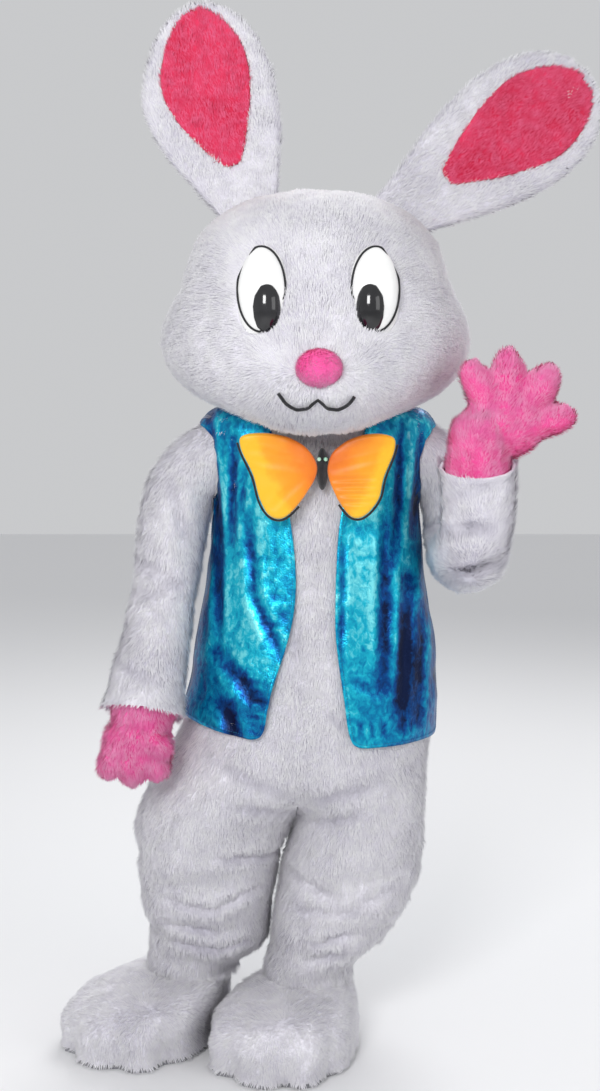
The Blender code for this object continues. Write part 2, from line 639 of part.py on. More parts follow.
def make_sleeve(name, rows, folds, steps):
    """A plush sleeve. Gives the tubes that cut the armholes round it, and its open end."""
    frames = sleeve_frames(rows, steps)
    turns = [2 * math.pi * k / SLEEVE_SIDES for k in range(SLEEVE_SIDES)]

    def ring(k, extra, folded=True):
        centre, ahead, side, radius = frames[k]
        up = ahead.cross(side)
        out = []
        for turn in turns:
            reach = radius + extra
            if folded:
                reach -= sleeve_fold(folds, k / steps, turn)
            out.append(centre + (side * math.cos(turn) + up * math.sin(turn)) * reach)
        return out

    outer = [ring(k, 0.0) for k in range(steps + 1)]
    inner = [ring(k, -PLUSH_WALL) for k in range(steps + 1)]
    skinned(name, "white_plush", outer, inner, True, None)

    def tube(extra, last, cut_name):
        ahead = frames[0][1]
        first = [p - ahead * ARMHOLE_REACH for p in ring(0, extra)]
        return loft(cut_name, None, [first] + [ring(k, extra) for k in range(last)])

    seam_cutter = tube(SEAM, steps // 3, name + "_armhole")
    vest_cutter = tube(ARMHOLE_EASE, steps // 2, name + "_vest_armhole")
    centre, ahead, across, radius = frames[-1]
    before, _, _, radius_before = frames[-2]
    share = CUFF_TUCK / (centre - before).length
    tucked = radius + (radius_before - radius) * share
    return seam_cutter, vest_cutter, (centre, ahead, across, min(tucked, radius))


def vest_fold(side, height, turn):
    """How far the vest's long soft folds lift its surface."""
    lifted = 0.0
    for fold in VEST_FOLDS:
        row = dict(zip(VEST_FOLD_NAMES, fold))
        share = (row["from_height"] - height) / (row["from_height"] - row["to_height"])
        if row["side"] == side and -0.15 < share < 1.15:
            line = row["from_turn"] + (row["to_turn"] - row["from_turn"]) * share
            fade = max(0.0, 1 - ((share - 0.5) / 0.65) ** 2)
            lifted += row["depth"] * fade * bump(turn - line, row["width"])
    return lifted


def vest_point(side, height, turn):
    """A point of the vest's outer surface."""
    near = 1e-4
    up = suit_point(side, height + near, turn) - suit_point(side, height - near, turn)
    round_it = suit_point(side, height, turn + near) - suit_point(side, height, turn - near)
    out = up.cross(round_it).normalized()
    if side == "left":
        out = -out
    ease = VEST_GAP(height) + VEST_WALL + vest_fold(side, height, turn)
    return suit_point(side, height, turn) + out * ease


def vest_hem(side, turn):
    """The hem's height, which rises towards the left side."""
    return VEST_HEM[side] + VEST_HEM_RISE[side] * math.cos(turn) ** 2


def make_vest(cutters):
    """Two fronts and a back in lame, with the armholes cut round the sleeves."""
    shares = [0.0, 0.09, 0.20, 0.32, 0.45, 0.58, 0.70, 0.80, 0.88, 0.94, 0.98, 1.0]
    fronts = 7
    backs = 13
    pieces = []
    for side in ("right", "left"):
        sign = 1 if side == "right" else -1

        def edge_turn(height, side=side):
            cx, _, half, _, _ = section(side, height)
            reach = abs(VEST_EDGES[side](height) - cx) / (half + VEST_GAP(height) + VEST_WALL)
            return math.acos(min(1.0, reach))

        def skin(u, v, side=side, sign=sign, edge_turn=edge_turn):
            rough = VEST_HEM[side] + (VEST_TOP - VEST_HEM[side]) * v
            turn = edge_turn(rough) * u * -sign
            foot = vest_hem(side, turn)
            return vest_point(side, foot + (VEST_TOP - foot) * v, turn)

        def columns(v, side=side):
            inset = SEAM / 2 / VEST_QUARTER
            first, last = (-1.0, -inset) if side == "right" else (inset, 1.0)
            return [first + (last - first) * k / fronts for k in range(fronts + 1)]

        name = f"vest_front_{side}"
        pieces.append(cloth_wall(name, "turquoise_lame", skin, columns, shares, VEST_WALL))

    def back_skin(u, v):
        side = "right" if u < 0 else "left"
        turn = -QUARTER * (1 + u) if u < 0 else -QUARTER * (1 - u)
        foot = vest_hem(side, turn) if u < 0 else VEST_HEM["right"] + (
            vest_hem("left", turn) - VEST_HEM["right"]) * math.cos(turn) ** 2
        return vest_point(side, foot + (VEST_TOP - foot) * v, turn)

    def back_columns(v):
        inset = SEAM / 2 / VEST_QUARTER
        return [-1 + inset + (2 - 2 * inset) * k / backs for k in range(backs + 1)]

    pieces.append(cloth_wall("vest_back", "turquoise_lame", back_skin, back_columns, shares,
                             VEST_WALL))
    for piece in pieces:
        for cutter in cutters:
            boolean(piece, cutter)


def head_skin(extra=0.0):
    """Gives the head's outer surface as a function of turn (0 at the front) and row number."""
    numbers = list(range(len(HEAD_ROWS)))
    columns = table(HEAD_NAMES, HEAD_ROWS, by=numbers)
    last = numbers[-1]

    def skin(turn, v):
        row = last - v
        ahead, across = math.cos(turn), math.sin(turn)
        reach = columns["front"](row) if ahead > 0 else columns["back"](row)
        drop = columns["front_drop"](row) if ahead > 0 else columns["back_drop"](row)
        point = Vector((HEAD_CENTRE[0] + columns["across"](row) * across,
                        HEAD_CENTRE[1] - reach * ahead,
                        columns["height"](row) - drop * ahead * ahead))
        if ahead > 0:
            for swell in FACE_SWELLS:
                s = dict(zip(SWELL_NAMES, swell))
                rise = s["rise"] * bump(point.x - s["x"], s["reach_x"])
                point.y -= rise * bump(point.z - s["height"], s["reach_z"]) * ahead
        return point

    def moved(turn, v):
        if not extra:
            return skin(turn, v)
        near = 1e-3
        along_u = skin(turn + near, v) - skin(turn - near, v)
        along_v = skin(turn, min(last, v + near)) - skin(turn, v - near)
        return skin(turn, v) + along_u.cross(along_v).normalized() * extra

    return moved, last


def make_head():
    """The foam head in two shells, face and back. Gives a solid of its outside for fitting."""
    skin, last = head_skin()
    even = [2 * math.pi * k / HEAD_SIDES for k in range(HEAD_SIDES)]
    turns = [turn - FACE_CROWDING * math.sin(turn) for turn in even]
    for name, sign in (("head_face", 1), ("head_back", -1)):
        shell = cloth_wall(name, "white_plush", skin, lambda v: turns, list(range(last + 1)),
                           FOAM_WALL, closed=True, pole=True)
        bm = bmesh.new()
        bmesh.ops.create_cube(bm, size=2.0)
        middle = Vector((0, HEAD_SEAM_Y + sign * (1.0 - SEAM / 2), 1.5))
        bmesh.ops.translate(bm, verts=bm.verts, vec=middle)
        boolean(shell, finished(name + "_trim", None, bm, None))
    grown, _ = head_skin(HEAD_FIT)
    rings = [[grown(turn, v) for turn in turns] for v in range(last)]
    rings.append([grown(0.0, last - 0.001) + Vector((0, 0, HEAD_FIT))])
    return loft("head_outside", None, rings)


def ear_frames(ear):
    """Rows of an ear: middle, lean, side direction, half width and half thickness."""
    rows = ear["rows"]
    columns = table(EAR_NAMES, rows)
    lean = Vector((ear["lean"][0], 0, ear["lean"][1])).normalized()
    side = Vector((lean.z, 0, -lean.x))
    base = Vector((ear["base"][0], ear["y"], ear["base"][1]))
    first, last = rows[0][0], rows[-1][0]
    frames = []
    for k in range(EAR_STEPS + 1):
        share = math.sin(QUARTER * k / EAR_STEPS) ** EAR_CROWDING
        along = first + (last - first) * share
        middle = base + lean * along + side * columns["shift"](along) * -1
        frames.append((middle, side, columns["half_width"](along), columns["thick"](along)))
    return frames


def ear_point(frame, turn, extra=0.0):
    """A point of an ear's skin. Its front is dished, so the rim stands round the lining."""
    middle, side, half, thick = frame
    across, deep = math.cos(turn), math.sin(turn)
    fullness = abs(deep) ** EAR_ROUNDNESS * thick
    if deep < 0:
        dish = EAR_DISH * (1 - across * across) ** 1.5 * min(1.0, half / EAR_DISHED_HALF)
        fullness = dish - fullness - extra
    return middle + side * across * half + Vector((0, fullness, 0))


def on_row(row, middle, side, spot):
    """The point of a row of points that lies at a place across it."""
    places = [(point - middle).dot(side) for point in row]
    k = 0
    while k < len(row) - 2 and spot > places[k + 1]:
        k += 1
    return row[k].lerp(row[k + 1], (spot - places[k]) / (places[k + 1] - places[k]))


def make_ear(side_name, ear, head_outside):
    """A stuffed ear that ends on the head, and the rose lining that lies in its dish."""
    frames = ear_frames(ear)
    turns = [2 * math.pi * k / EAR_SIDES for k in range(EAR_SIDES)]
    rings = [[ear_point(frame, turn) for turn in turns] for frame in frames[:-1]]
    rings.append([frames[-1][0]])
    body = loft("ear_" + side_name, "white_plush", rings)
    boolean(body, head_outside)
    columns = range(EAR_SIDES // 2 + 2, EAR_SIDES - 1)
    chosen = frames[LINING_FIRST_ROW:]

    def lining_row(frame, share, lift):
        row = [ear_point(frame, turns[k], lift) for k in columns]
        middle, side = frame[:2]
        first, last = ((point - middle).dot(side) * share for point in (row[0], row[-1]))
        spots = [first + (last - first) * k / (len(row) - 1) for k in range(len(row))]
        return [on_row(row, middle, side, spot) for spot in spots]

    inner, outer = ([lining_row(frame, share, lift) for frame, share in zip(chosen, LINING_SHARES)]
                    for lift in (SEAM, SEAM + LINING_WALL))
    skinned("ear_lining_" + side_name, "rose_plush", outer, inner, False, None)


def face_finder(head_outside):
    """Gives a function for the point of the face at a place across and a height, moved out."""
    corners = [v.co for v in head_outside.data.vertices]
    skin = BVHTree.FromPolygons(corners, [tuple(p.vertices) for p in head_outside.data.polygons])

    def at(x, height, lift=0.0):
        place, normal, _, _ = skin.ray_cast(Vector((x, -1.0, height)), Vector((0, 1, 0)))
        return place + normal * lift

    return at


def make_face(head_outside):
    """Eyes, nose and mouth, each seated on the head."""
    face_point = face_finder(head_outside)

    def on_face(spot):
        return face_point(spot[0], spot[2]) + Vector((0, spot[1], 0))

    for side, white, pupil in zip(("left", "right"), EYE_WHITE, PUPIL):
        eye = ellipsoid("eye_white_" + side, "eye_white", on_face(white), white[3:], rings=8)
        boolean(eye, head_outside)
        grown = [size + EYE_FIT for size in white[3:]]
        around = ellipsoid("eye_outside_" + side, None, on_face(white), grown, rings=8)
        dot = ellipsoid("pupil_" + side, "eye_black", on_face(pupil), pupil[3:], sides=14, rings=8)
        boolean(dot, around)
        boolean(dot, head_outside)
    nose = ellipsoid("nose", "pink_plush", on_face(NOSE), NOSE[3:], sides=14, rings=8)
    boolean(nose, head_outside)
    path = []
    for (x0, z0), (x1, z1) in zip(MOUTH_POINTS, MOUTH_POINTS[1:]):
        for share in (0.0, 1 / 3, 2 / 3):
            spot = face_point(x0 + (x1 - x0) * share, z0 + (z1 - z0) * share, MOUTH_LIFT)
            path.append(spot)
    wire("mouth", "black_felt", path, MOUTH_RADIUS)


def wire(name, material, points, radius):
    """A rounded cord through points, as a curve with filled ends."""
    curve = bpy.data.curves.new(name, "CURVE")
    curve.dimensions = "3D"
    curve.bevel_depth = radius
    curve.bevel_resolution = 1
    curve.use_fill_caps = True
    spline = curve.splines.new("POLY")
    spline.points.add(len(points) - 1)
    for target, point in zip(spline.points, points):
        target.co = (*point, 1.0)
    settle(bpy.data.objects.new(name, curve), material)


def rounded(points, steps):
    """A closed smooth outline through the given points, as (across, height) pairs."""
    count = len(points)
    out = []
    for i in range(count):
        a, b, c, d = (Vector(points[(i + k) % count]) for k in (-1, 0, 1, 2))
        for k in range(steps):
            t = k / steps
            out.append(0.5 * (2 * b + (c - a) * t + (2 * a - 5 * b + 4 * c - d) * t * t
                              + (3 * b - a - 3 * c + d) * t ** 3))
    return out


def padded_shape(name, material, points, y):
    """A flat padded shape from an outline in the plane of the face, with rounded edges."""
    curve = bpy.data.curves.new(name, "CURVE")
    curve.dimensions = "2D"
    curve.fill_mode = "BOTH"
    curve.extrude = BOW_HALF_THICK
    curve.bevel_depth = BOW_ROUNDING
    curve.bevel_resolution = 0
    curve.offset = -BOW_ROUNDING
    spline = curve.splines.new("POLY")
    spline.use_cyclic_u = True
    spline.points.add(len(points) - 1)
    for target, (x, z) in zip(spline.points, points):
        target.co = (x, z, 0, 1)
    made = bpy.data.objects.new(name, curve)
    settle(made, material)
    made.location = (0, y, 0)
    made.rotation_euler = (QUARTER, 0, 0)


def make_bow():
    """The butterfly bow: two padded wings, their black edging and the insect's body."""
    for side, wing in (("right", WING_RIGHT), ("left", WING_LEFT)):
        shape = rounded(wing, OUTLINE_STEPS)
        count = len(shape)
        sign = -1 if side == "right" else 1
        padded_shape("bow_wing_" + side, "orange_satin", shape, BOW_Y)
        edge = []
        for i in range(round(BOW_EDGE_FROM * count), round(BOW_EDGE_TO * count)):
            along = (shape[(i + 1) % count] - shape[i - 1]).normalized()
            out = Vector((-along.y, along.x)) * -sign * (BOW_EDGE_RADIUS + 2 * SEAM)
            edge.append((shape[i].x + out.x, BOW_Y, shape[i].y + out.y))
        wire("bow_edge_" + side, "black_felt", edge, BOW_EDGE_RADIUS)
    ellipsoid("bow_body", "black_felt", BOW_BODY[:3], BOW_BODY[3:], sides=12, rings=8)


def make_glove(name, sleeve_end, palm, digits, cuff_shape):
    """A plush glove: cuff, palm and digits in one skin, hollow and open at the wrist."""
    centre, ahead, across, radius = sleeve_end
    cuff_length, taper = cuff_shape
    cuff_radius = radius - PLUSH_WALL - SEAM * 3
    turn = Matrix((across.cross(ahead), across, ahead)).transposed().to_4x4()
    start = centre - ahead * CUFF_TUCK
    heel = cuff_radius * taper * HEEL_FULLNESS

    def cuff(part_name, material, shrink, from_start):
        bm = bmesh.new()
        length = cuff_length - from_start
        bmesh.ops.create_cone(bm, cap_ends=True, cap_tris=True, segments=SLEEVE_SIDES,
                              depth=length, radius1=cuff_radius - shrink,
                              radius2=(cuff_radius - shrink) * taper)
        middle = start + ahead * (from_start + length / 2)
        bmesh.ops.transform(bm, matrix=Matrix.Translation(middle) @ turn, verts=bm.verts)
        return finished(part_name, material, bm, None)

    def hand(part_name, shrink, kept_share):
        bm = bmesh.new()
        add_ellipsoid(bm, palm[:3], [size - shrink for size in palm[3:]])
        add_ellipsoid(bm, start + ahead * cuff_length, [heel - shrink] * 3)
        for digit in digits:
            d = dict(zip(DIGIT_NAMES, digit))
            sizes = [d[size] - shrink for size in ("thick", "thick", "long")]
            add_ellipsoid(bm, (d["x"], d["y"], d["height"]), sizes, (0, d["nod"], d["tilt"]))
        made = finished(part_name, None, bm, None)
        merged = made.modifiers.new("Merge", "REMESH")
        merged.mode = "VOXEL"
        merged.voxel_size = HAND_GRAIN
        made.modifiers.new("Fewer faces", "DECIMATE").ratio = kept_share
        return made

    glove = cuff(name, "pink_plush", 0.0, 0.0)
    boolean(glove, hand(name + "_hand_outside", 0.0, HAND_FACES[name][0]), "UNION")
    boolean(glove, hand(name + "_hand_inside", GLOVE_WALL, HAND_FACES[name][1]))
    boolean(glove, cuff(name + "_cuff_inside", None, GLOVE_WALL, -CUFF_TUCK))


def shoe_point(columns, row, turn, stretch):
    """A point of a foot's skin about its ankle, forward being -Y."""
    ahead, across = math.cos(turn), math.sin(turn)
    toes = columns["toe"](row)
    reach = columns["front"](row) if ahead > 0 else columns["heel"](row)
    forward = columns["mid"](row) + reach * math.copysign(abs(ahead) ** TOE_SQUARENESS, ahead)
    width = columns["half_width"](row) * math.copysign(abs(across) ** SIDE_SQUARENESS, across)
    width *= 1 + columns["egg"](row) * ahead
    if abs(turn) < TOE_SPAN:
        notch = abs(math.sin(turn / TOE_SPAN * TOES * QUARTER + QUARTER * (TOES % 2)))
        dent = toes * (1 - notch) ** 1.5
        forward -= dent * ahead
        width -= dent * across
    return Vector((width * stretch, -forward * stretch, columns["height"](row)))


def make_shoes():
    """Two plush feet with three toes, each an upper that is open at the ankle and a flat sole."""
    numbers = list(range(len(SHOE_ROWS)))
    columns = table(SHOE_NAMES, SHOE_ROWS, by=numbers)
    turns = [2 * math.pi * k / SHOE_SIDES - math.pi for k in range(SHOE_SIDES)]
    for side, shoe in SHOES.items():
        cx, cy, half, deep, _ = section(side, SUIT_HEM)
        collar = (min(half, deep) - PLUSH_WALL) * math.cos(QUARTER / SUIT_COLUMNS) - SEAM * 2.5
        place = Matrix.Translation((cx, cy, 0)) @ Matrix.Rotation(math.radians(shoe["turn"]), 4, "Z")

        def skin(turn, v, shoe=shoe, collar=collar, place=place):
            point = shoe_point(columns, v, turn, shoe["stretch"])
            flat = Vector((point.x + shoe["aside"] * columns["mid"](v) / SHOE_ROWS[0][1], point.y, 0))
            share = min(1.0, max(0.0, (v - COLLAR_FROM_ROW + 1)))
            grown = flat.lerp(flat.normalized() * collar, share)
            return place @ Vector((grown.x, grown.y, point.z))

        cloth_wall("foot_upper_" + side, "white_plush", skin, lambda v: turns, numbers,
                   SHOE_WALL, closed=True)
        rim = [skin(turn, 0.0) for turn in turns]
        middle = middle_of(rim)
        drawn_in = [p + (middle - p).normalized() * SOLE_INSET for p in rim]
        low = [Vector((p.x, p.y, 0.0)) for p in drawn_in]
        high = [Vector((p.x, p.y, FLOOR_PLATE)) for p in drawn_in]
        loft("foot_sole_" + side, "grey_sole", [low, high])


remove_everything()
COSTUME = new_collection("Rabbit costume")
CUTTERS = new_collection("Cutters")
MATERIALS = make_materials()
FLOOR = bpy.data.objects.new("floor_under_costume", None)
FLOOR.location = (0, 0, -SHOULDER_HEIGHT)
COSTUME.objects.link(FLOOR)


def main():
    """Builds the costume."""
    suit = make_suit()
    make_placket()
    vest_cutters = []
    for name, rows, folds, steps, glove in (
        ("sleeve_left", HANGING_SLEEVE, HANGING_FOLDS, 15,
         ("glove_left", HANGING_PALM, HANGING_DIGITS, HANGING_CUFF)),
        ("sleeve_right", RAISED_SLEEVE, RAISED_FOLDS, 17,
         ("glove_right", RAISED_PALM, RAISED_DIGITS, RAISED_CUFF)),
    ):
        seam_cutter, vest_cutter, end = make_sleeve(name, rows, folds, steps)
        side = name.split("_")[1]
        for panel in suit:
            if panel.name.endswith(side):
                boolean(panel, seam_cutter)
        vest_cutters.append(vest_cutter)
        make_glove(glove[0], end, glove[1], glove[2], glove[3])
    make_vest(vest_cutters)
    head_outside = make_head()
    for side, ear in (("right", EAR_RIGHT), ("left", EAR_LEFT)):
        make_ear(side, ear, head_outside)
    make_face(head_outside)
    make_bow()
    make_shoes()
    bpy.context.view_layer.update()


main()
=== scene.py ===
# %% [markdown]
# # Rabbit mascot costume
# The costume stands in the pose in which it was worn: one sleeve hangs, the other is raised in
# a wave. The frame gives each cut piece as a solid in its right place. This lesson dresses
# those solids with plush, metal cloth, satin and felt, one material at a time.

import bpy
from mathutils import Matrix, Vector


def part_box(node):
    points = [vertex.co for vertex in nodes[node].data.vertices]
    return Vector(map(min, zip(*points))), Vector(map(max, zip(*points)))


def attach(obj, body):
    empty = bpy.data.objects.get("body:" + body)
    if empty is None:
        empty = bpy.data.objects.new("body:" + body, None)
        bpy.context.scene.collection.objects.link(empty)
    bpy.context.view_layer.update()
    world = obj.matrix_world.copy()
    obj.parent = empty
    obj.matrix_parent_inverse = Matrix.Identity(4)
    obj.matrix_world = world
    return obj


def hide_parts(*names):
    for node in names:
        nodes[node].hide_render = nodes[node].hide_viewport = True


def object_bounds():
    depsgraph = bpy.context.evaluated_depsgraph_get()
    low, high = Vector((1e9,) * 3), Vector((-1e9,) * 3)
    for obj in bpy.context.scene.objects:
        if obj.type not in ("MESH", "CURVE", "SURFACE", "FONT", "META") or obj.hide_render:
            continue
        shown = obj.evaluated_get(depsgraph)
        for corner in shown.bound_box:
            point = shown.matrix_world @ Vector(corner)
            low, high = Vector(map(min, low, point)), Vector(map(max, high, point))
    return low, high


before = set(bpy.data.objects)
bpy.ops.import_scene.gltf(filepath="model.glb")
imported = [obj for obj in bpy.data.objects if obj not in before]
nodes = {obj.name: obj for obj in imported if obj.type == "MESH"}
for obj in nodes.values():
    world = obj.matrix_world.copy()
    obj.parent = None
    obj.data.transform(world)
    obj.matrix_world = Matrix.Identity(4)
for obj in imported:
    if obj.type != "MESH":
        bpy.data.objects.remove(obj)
cad_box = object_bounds()
print(len(nodes), "solids, from", tuple(cad_box[0]), "to", tuple(cad_box[1]))

# %% [markdown]
# ## The studio
# A white plush suit needs a soft, pale room, or its pile turns grey. The key light stands near
# the camera, because metal cloth shines where it faces the light and goes dark where it turns
# away. A weaker fill opens the shadows, and a light behind draws the fuzz along the outline.

# %% Floor, light and camera
import math
import bpy

STUDIO_GREY = (0.84, 0.84, 0.85, 1.0)
FLOOR_REACH = 9.0
CAMERA_PLACE = (-0.036, -3.4, 0.18)
CAMERA_DIP = math.radians(7.2)
LENS = 54.05
SENSOR = 36.0
ROOM_COLOUR = (0.97, 0.98, 1.0, 1.0)
ROOM_STRENGTH = 0.60
# Name, place, size in metres and power in watts
LIGHTS = (
    ("key_light", (-0.9, -3.3, 1.3), 1.2, 70.0),
    ("fill_light", (2.7, -2.0, 0.7), 1.6, 12.0),
    ("back_light", (0.6, 2.6, 2.2), 2.2, 70.0),
)


def shader_of(material):
    """The Principled shader of a new material."""
    material.use_nodes = True
    return material.node_tree.nodes["Principled BSDF"]


def add_object(name, data):
    """Puts a mesh, a curve, a light or a camera into the scene as an object."""
    made = bpy.data.objects.new(name, data)
    bpy.context.scene.collection.objects.link(made)
    return made


def make_floor():
    """A wide pale floor under the feet."""
    bpy.ops.mesh.primitive_grid_add(x_subdivisions=8, y_subdivisions=8, size=2 * FLOOR_REACH,
                                    location=(0, 0, cad_box[0].z))
    floor = bpy.context.object
    floor.name = "studio_floor"
    paper = bpy.data.materials.new("studio_paper")
    shader = shader_of(paper)
    shader.inputs["Base Color"].default_value = STUDIO_GREY
    shader.inputs["Roughness"].default_value = 0.9
    floor.data.materials.append(paper)


def make_light(name, place, size, power):
    """A square soft box that faces the costume's chest."""
    lamp = bpy.data.lights.new(name, "AREA")
    lamp.size = size
    lamp.energy = power
    made = add_object(name, lamp)
    made.location = place
    made.rotation_euler = (-made.location).to_track_quat("-Z", "Y").to_euler()


def make_camera():
    """The camera of the shot."""
    lens = bpy.data.cameras.new("shot_camera")
    lens.lens = LENS
    lens.sensor_width = SENSOR
    made = add_object("shot_camera", lens)
    made.location = CAMERA_PLACE
    made.rotation_euler = (math.pi / 2 - CAMERA_DIP, 0, 0)
    bpy.context.scene.camera = made


make_floor()
for row in LIGHTS:
    make_light(*row)
make_camera()
room = bpy.data.worlds.new("studio_room")
bpy.context.scene.world = room
room.use_nodes = True
glow = room.node_tree.nodes["Background"]
glow.inputs["Color"].default_value = ROOM_COLOUR
glow.inputs["Strength"].default_value = ROOM_STRENGTH
bpy.context.scene.view_settings.view_transform = "Standard"
print("studio with", len(LIGHTS), "lights")

# %% [markdown]
# ## Finishes
# Every finish is one Principled shader with its colour and bump made from noise in object
# coordinates. Image textures would need unwrapping, and the pile hides any pattern that a
# weave would add. A few small helpers keep each recipe short.

# %% Helpers for finishes
SOCKETS = {
    "sheen": "Sheen Weight",
    "sheen_spread": "Sheen Roughness",
    "gloss": "Specular IOR Level",
    "metal": "Metallic",
    "coat": "Coat Weight",
}


def cloud(tree, scale, detail=3.0, stretch=(1, 1, 1), twist=0.0):
    """A noise in object coordinates, stretched along the axes."""
    place = tree.nodes.new("ShaderNodeTexCoord")
    mapping = tree.nodes.new("ShaderNodeMapping")
    mapping.inputs["Scale"].default_value = stretch
    grain = tree.nodes.new("ShaderNodeTexNoise")
    grain.inputs["Scale"].default_value = scale
    grain.inputs["Detail"].default_value = detail
    grain.inputs["Distortion"].default_value = twist
    tree.links.new(place.outputs["Object"], mapping.inputs["Vector"])
    tree.links.new(mapping.outputs["Vector"], grain.inputs["Vector"])
    return grain.outputs["Fac"]


def ramp(tree, source, stops):
    """Colours along a value, as (place, colour) pairs."""
    made = tree.nodes.new("ShaderNodeValToRGB")
    scale = made.color_ramp
    while len(scale.elements) < len(stops):
        scale.elements.new(0.5)
    for element, (place, colour) in zip(scale.elements, stops):
        element.position = place
        element.color = (*colour, 1.0)
    tree.links.new(source, made.inputs["Fac"])
    return made.outputs["Color"]


def mixed(tree, share, first, second):
    """The first colour going over to the second."""
    made = tree.nodes.new("ShaderNodeMix")
    made.data_type = "RGBA"
    tree.links.new(share, made.inputs["Factor"])
    tree.links.new(first, made.inputs["A"])
    tree.links.new(second, made.inputs["B"])
    return made.outputs["Result"]


def bumped(tree, shader, sources, strength, depth):
    """Bumps from several noises, one on top of the other."""
    normal = None
    for source in sources:
        made = tree.nodes.new("ShaderNodeBump")
        made.inputs["Strength"].default_value = strength
        made.inputs["Distance"].default_value = depth
        tree.links.new(source, made.inputs["Height"])
        if normal:
            tree.links.new(normal, made.inputs["Normal"])
        normal = made.outputs["Normal"]
    tree.links.new(normal, shader.inputs["Normal"])


def new_finish(name, roughness, **fixed):
    """A material with its roughness and other sockets set, and its shader."""
    made = bpy.data.materials.new(name)
    shader = shader_of(made)
    shader.inputs["Roughness"].default_value = roughness
    for word, value in fixed.items():
        shader.inputs[SOCKETS[word]].default_value = value
    return made, shader, made.node_tree


# %% [markdown]
# ## Plush
# Plush is dark between its hairs, where shade falls, and bright at their tips. That shade is
# painted: each hair carries a value of painted light, nought at the root and one at the end, and
# the finish goes from a deep tone of painted shade to a pale one along it. The cloth under the
# pile has no such value, so it takes the deep painted shade by itself.

# %% Plush finishes


def plush_finish(name, painted_root_shade, middle, pale, patch=9.0):
    """A pile finish from three tones of one colour, the deepest of them painted shade at the roots.
    """
    made, shader, tree = new_finish(name, 1.0, sheen=0.25, sheen_spread=0.6, gloss=0.15)
    painted_lock_light = tree.nodes.new("ShaderNodeAttribute")
    painted_lock_light.attribute_name = "painted_lock_light"
    # The roots and the bare cloth take the deep tone, painted shade, mottled at random
    root_shade_tone = ramp(tree, cloud(tree, patch, 4.0), ((0.32, painted_root_shade), (0.68, middle)))
    lit = ramp(tree, cloud(tree, patch * 5, 2.0), ((0.30, middle), (0.62, pale)))
    colour = mixed(tree, painted_lock_light.outputs["Fac"], root_shade_tone, lit)
    tree.links.new(colour, shader.inputs["Base Color"])
    bumped(tree, shader, [cloud(tree, 420.0, 2.0)], 0.5, 0.002)
    return made


WHITE_PLUSH = plush_finish("white_plush_pile", (0.56, 0.54, 0.62), (0.88, 0.86, 0.92),
                           (0.975, 0.97, 0.98))
PINK_PLUSH = plush_finish("pink_plush_pile", (0.86, 0.05, 0.30), (0.96, 0.17, 0.47),
                          (1.0, 0.42, 0.67))
ROSE_PLUSH = plush_finish("rose_plush_pile", (0.64, 0.015, 0.06), (0.82, 0.05, 0.14),
                          (0.92, 0.16, 0.32), 12.0)
print("plush in white, pink and rose")

# %% [markdown]
# ## Metal cloth, satin, felt and eyes
# The waistcoat is knitted cloth with a film of turquoise foil. Its light is painted: the cloth
# carries a value of painted light that picks the tone, nearly black as painted shade in its folds
# and pale cyan as painted highlight on their backs. Two sizes of crinkle break it up, in the bump
# and in the painted light. Satin is a plain shader with sheen.

# %% Cloth and hard finishes


def foil_finish():
    """Turquoise foil cloth, with painted shade in its folds and painted highlight on their backs.
    """
    made, shader, tree = new_finish("turquoise_foil_cloth", 0.30, metal=0.72)
    painted_fold_light = tree.nodes.new("ShaderNodeAttribute")
    painted_fold_light.attribute_name = "painted_fold_light"
    craze = cloud(tree, 95.0, 4.0, (1, 1, 0.75), 0.6)
    painted_light_value = tree.nodes.new("ShaderNodeMath")
    painted_light_value.operation = "MULTIPLY_ADD"
    tree.links.new(craze, painted_light_value.inputs[0])
    painted_light_value.inputs[1].default_value = 0.55
    tree.links.new(painted_fold_light.outputs["Fac"], painted_light_value.inputs[2])
    # Near black is painted shade, pale cyan is painted highlight and reflection, and the turquoise
    # between is the foil's own colour
    tones = ramp(tree, painted_light_value.outputs[0], (
        (0.36, (0.0, 0.008, 0.05)), (0.56, (0.0, 0.07, 0.29)), (0.72, (0.0, 0.26, 0.50)),
        (0.86, (0.01, 0.52, 0.70)), (1.0, (0.22, 0.86, 0.94))))
    tree.links.new(tones, shader.inputs["Base Color"])
    bumped(tree, shader, [craze, cloud(tree, 300.0, 3.0)], 0.45, 0.002)
    return made


def plain_finish(name, dark, light, roughness, grain, depth, **fixed):
    """A finish of two close tones with a fine grain."""
    made, shader, tree = new_finish(name, roughness, **fixed)
    tone = ramp(tree, cloud(tree, grain / 8, 3.0), ((0.35, dark), (0.65, light)))
    tree.links.new(tone, shader.inputs["Base Color"])
    bumped(tree, shader, [cloud(tree, grain, 3.0)], 0.35, depth)
    return made


FOIL_CLOTH = foil_finish()
BLACK_FELT = plain_finish("black_felt_trim", (0.006, 0.006, 0.008), (0.02, 0.02, 0.024), 0.9,
                          600.0, 0.001, sheen=0.3)
EYE_WHITE = plain_finish("eye_white_shell", (0.84, 0.84, 0.83), (0.90, 0.90, 0.89), 0.28,
                         160.0, 0.0002, coat=0.3)
EYE_BLACK = plain_finish("eye_black_shell", (0.003, 0.003, 0.004), (0.012, 0.012, 0.014), 0.12,
                         160.0, 0.0001, coat=0.6)
WEBBING = plain_finish("white_woven_tape", (0.66, 0.66, 0.70), (0.80, 0.80, 0.83), 0.85,
                       900.0, 0.0008)
SOLE_RUBBER = plain_finish("grey_sole_rubber", (0.20, 0.20, 0.22), (0.34, 0.34, 0.36), 0.85,
                           300.0, 0.0015)
FOIL_THREAD = plain_finish("turquoise_thread", (0.0, 0.08, 0.22), (0.01, 0.22, 0.38), 0.6,
                           900.0, 0.0004)
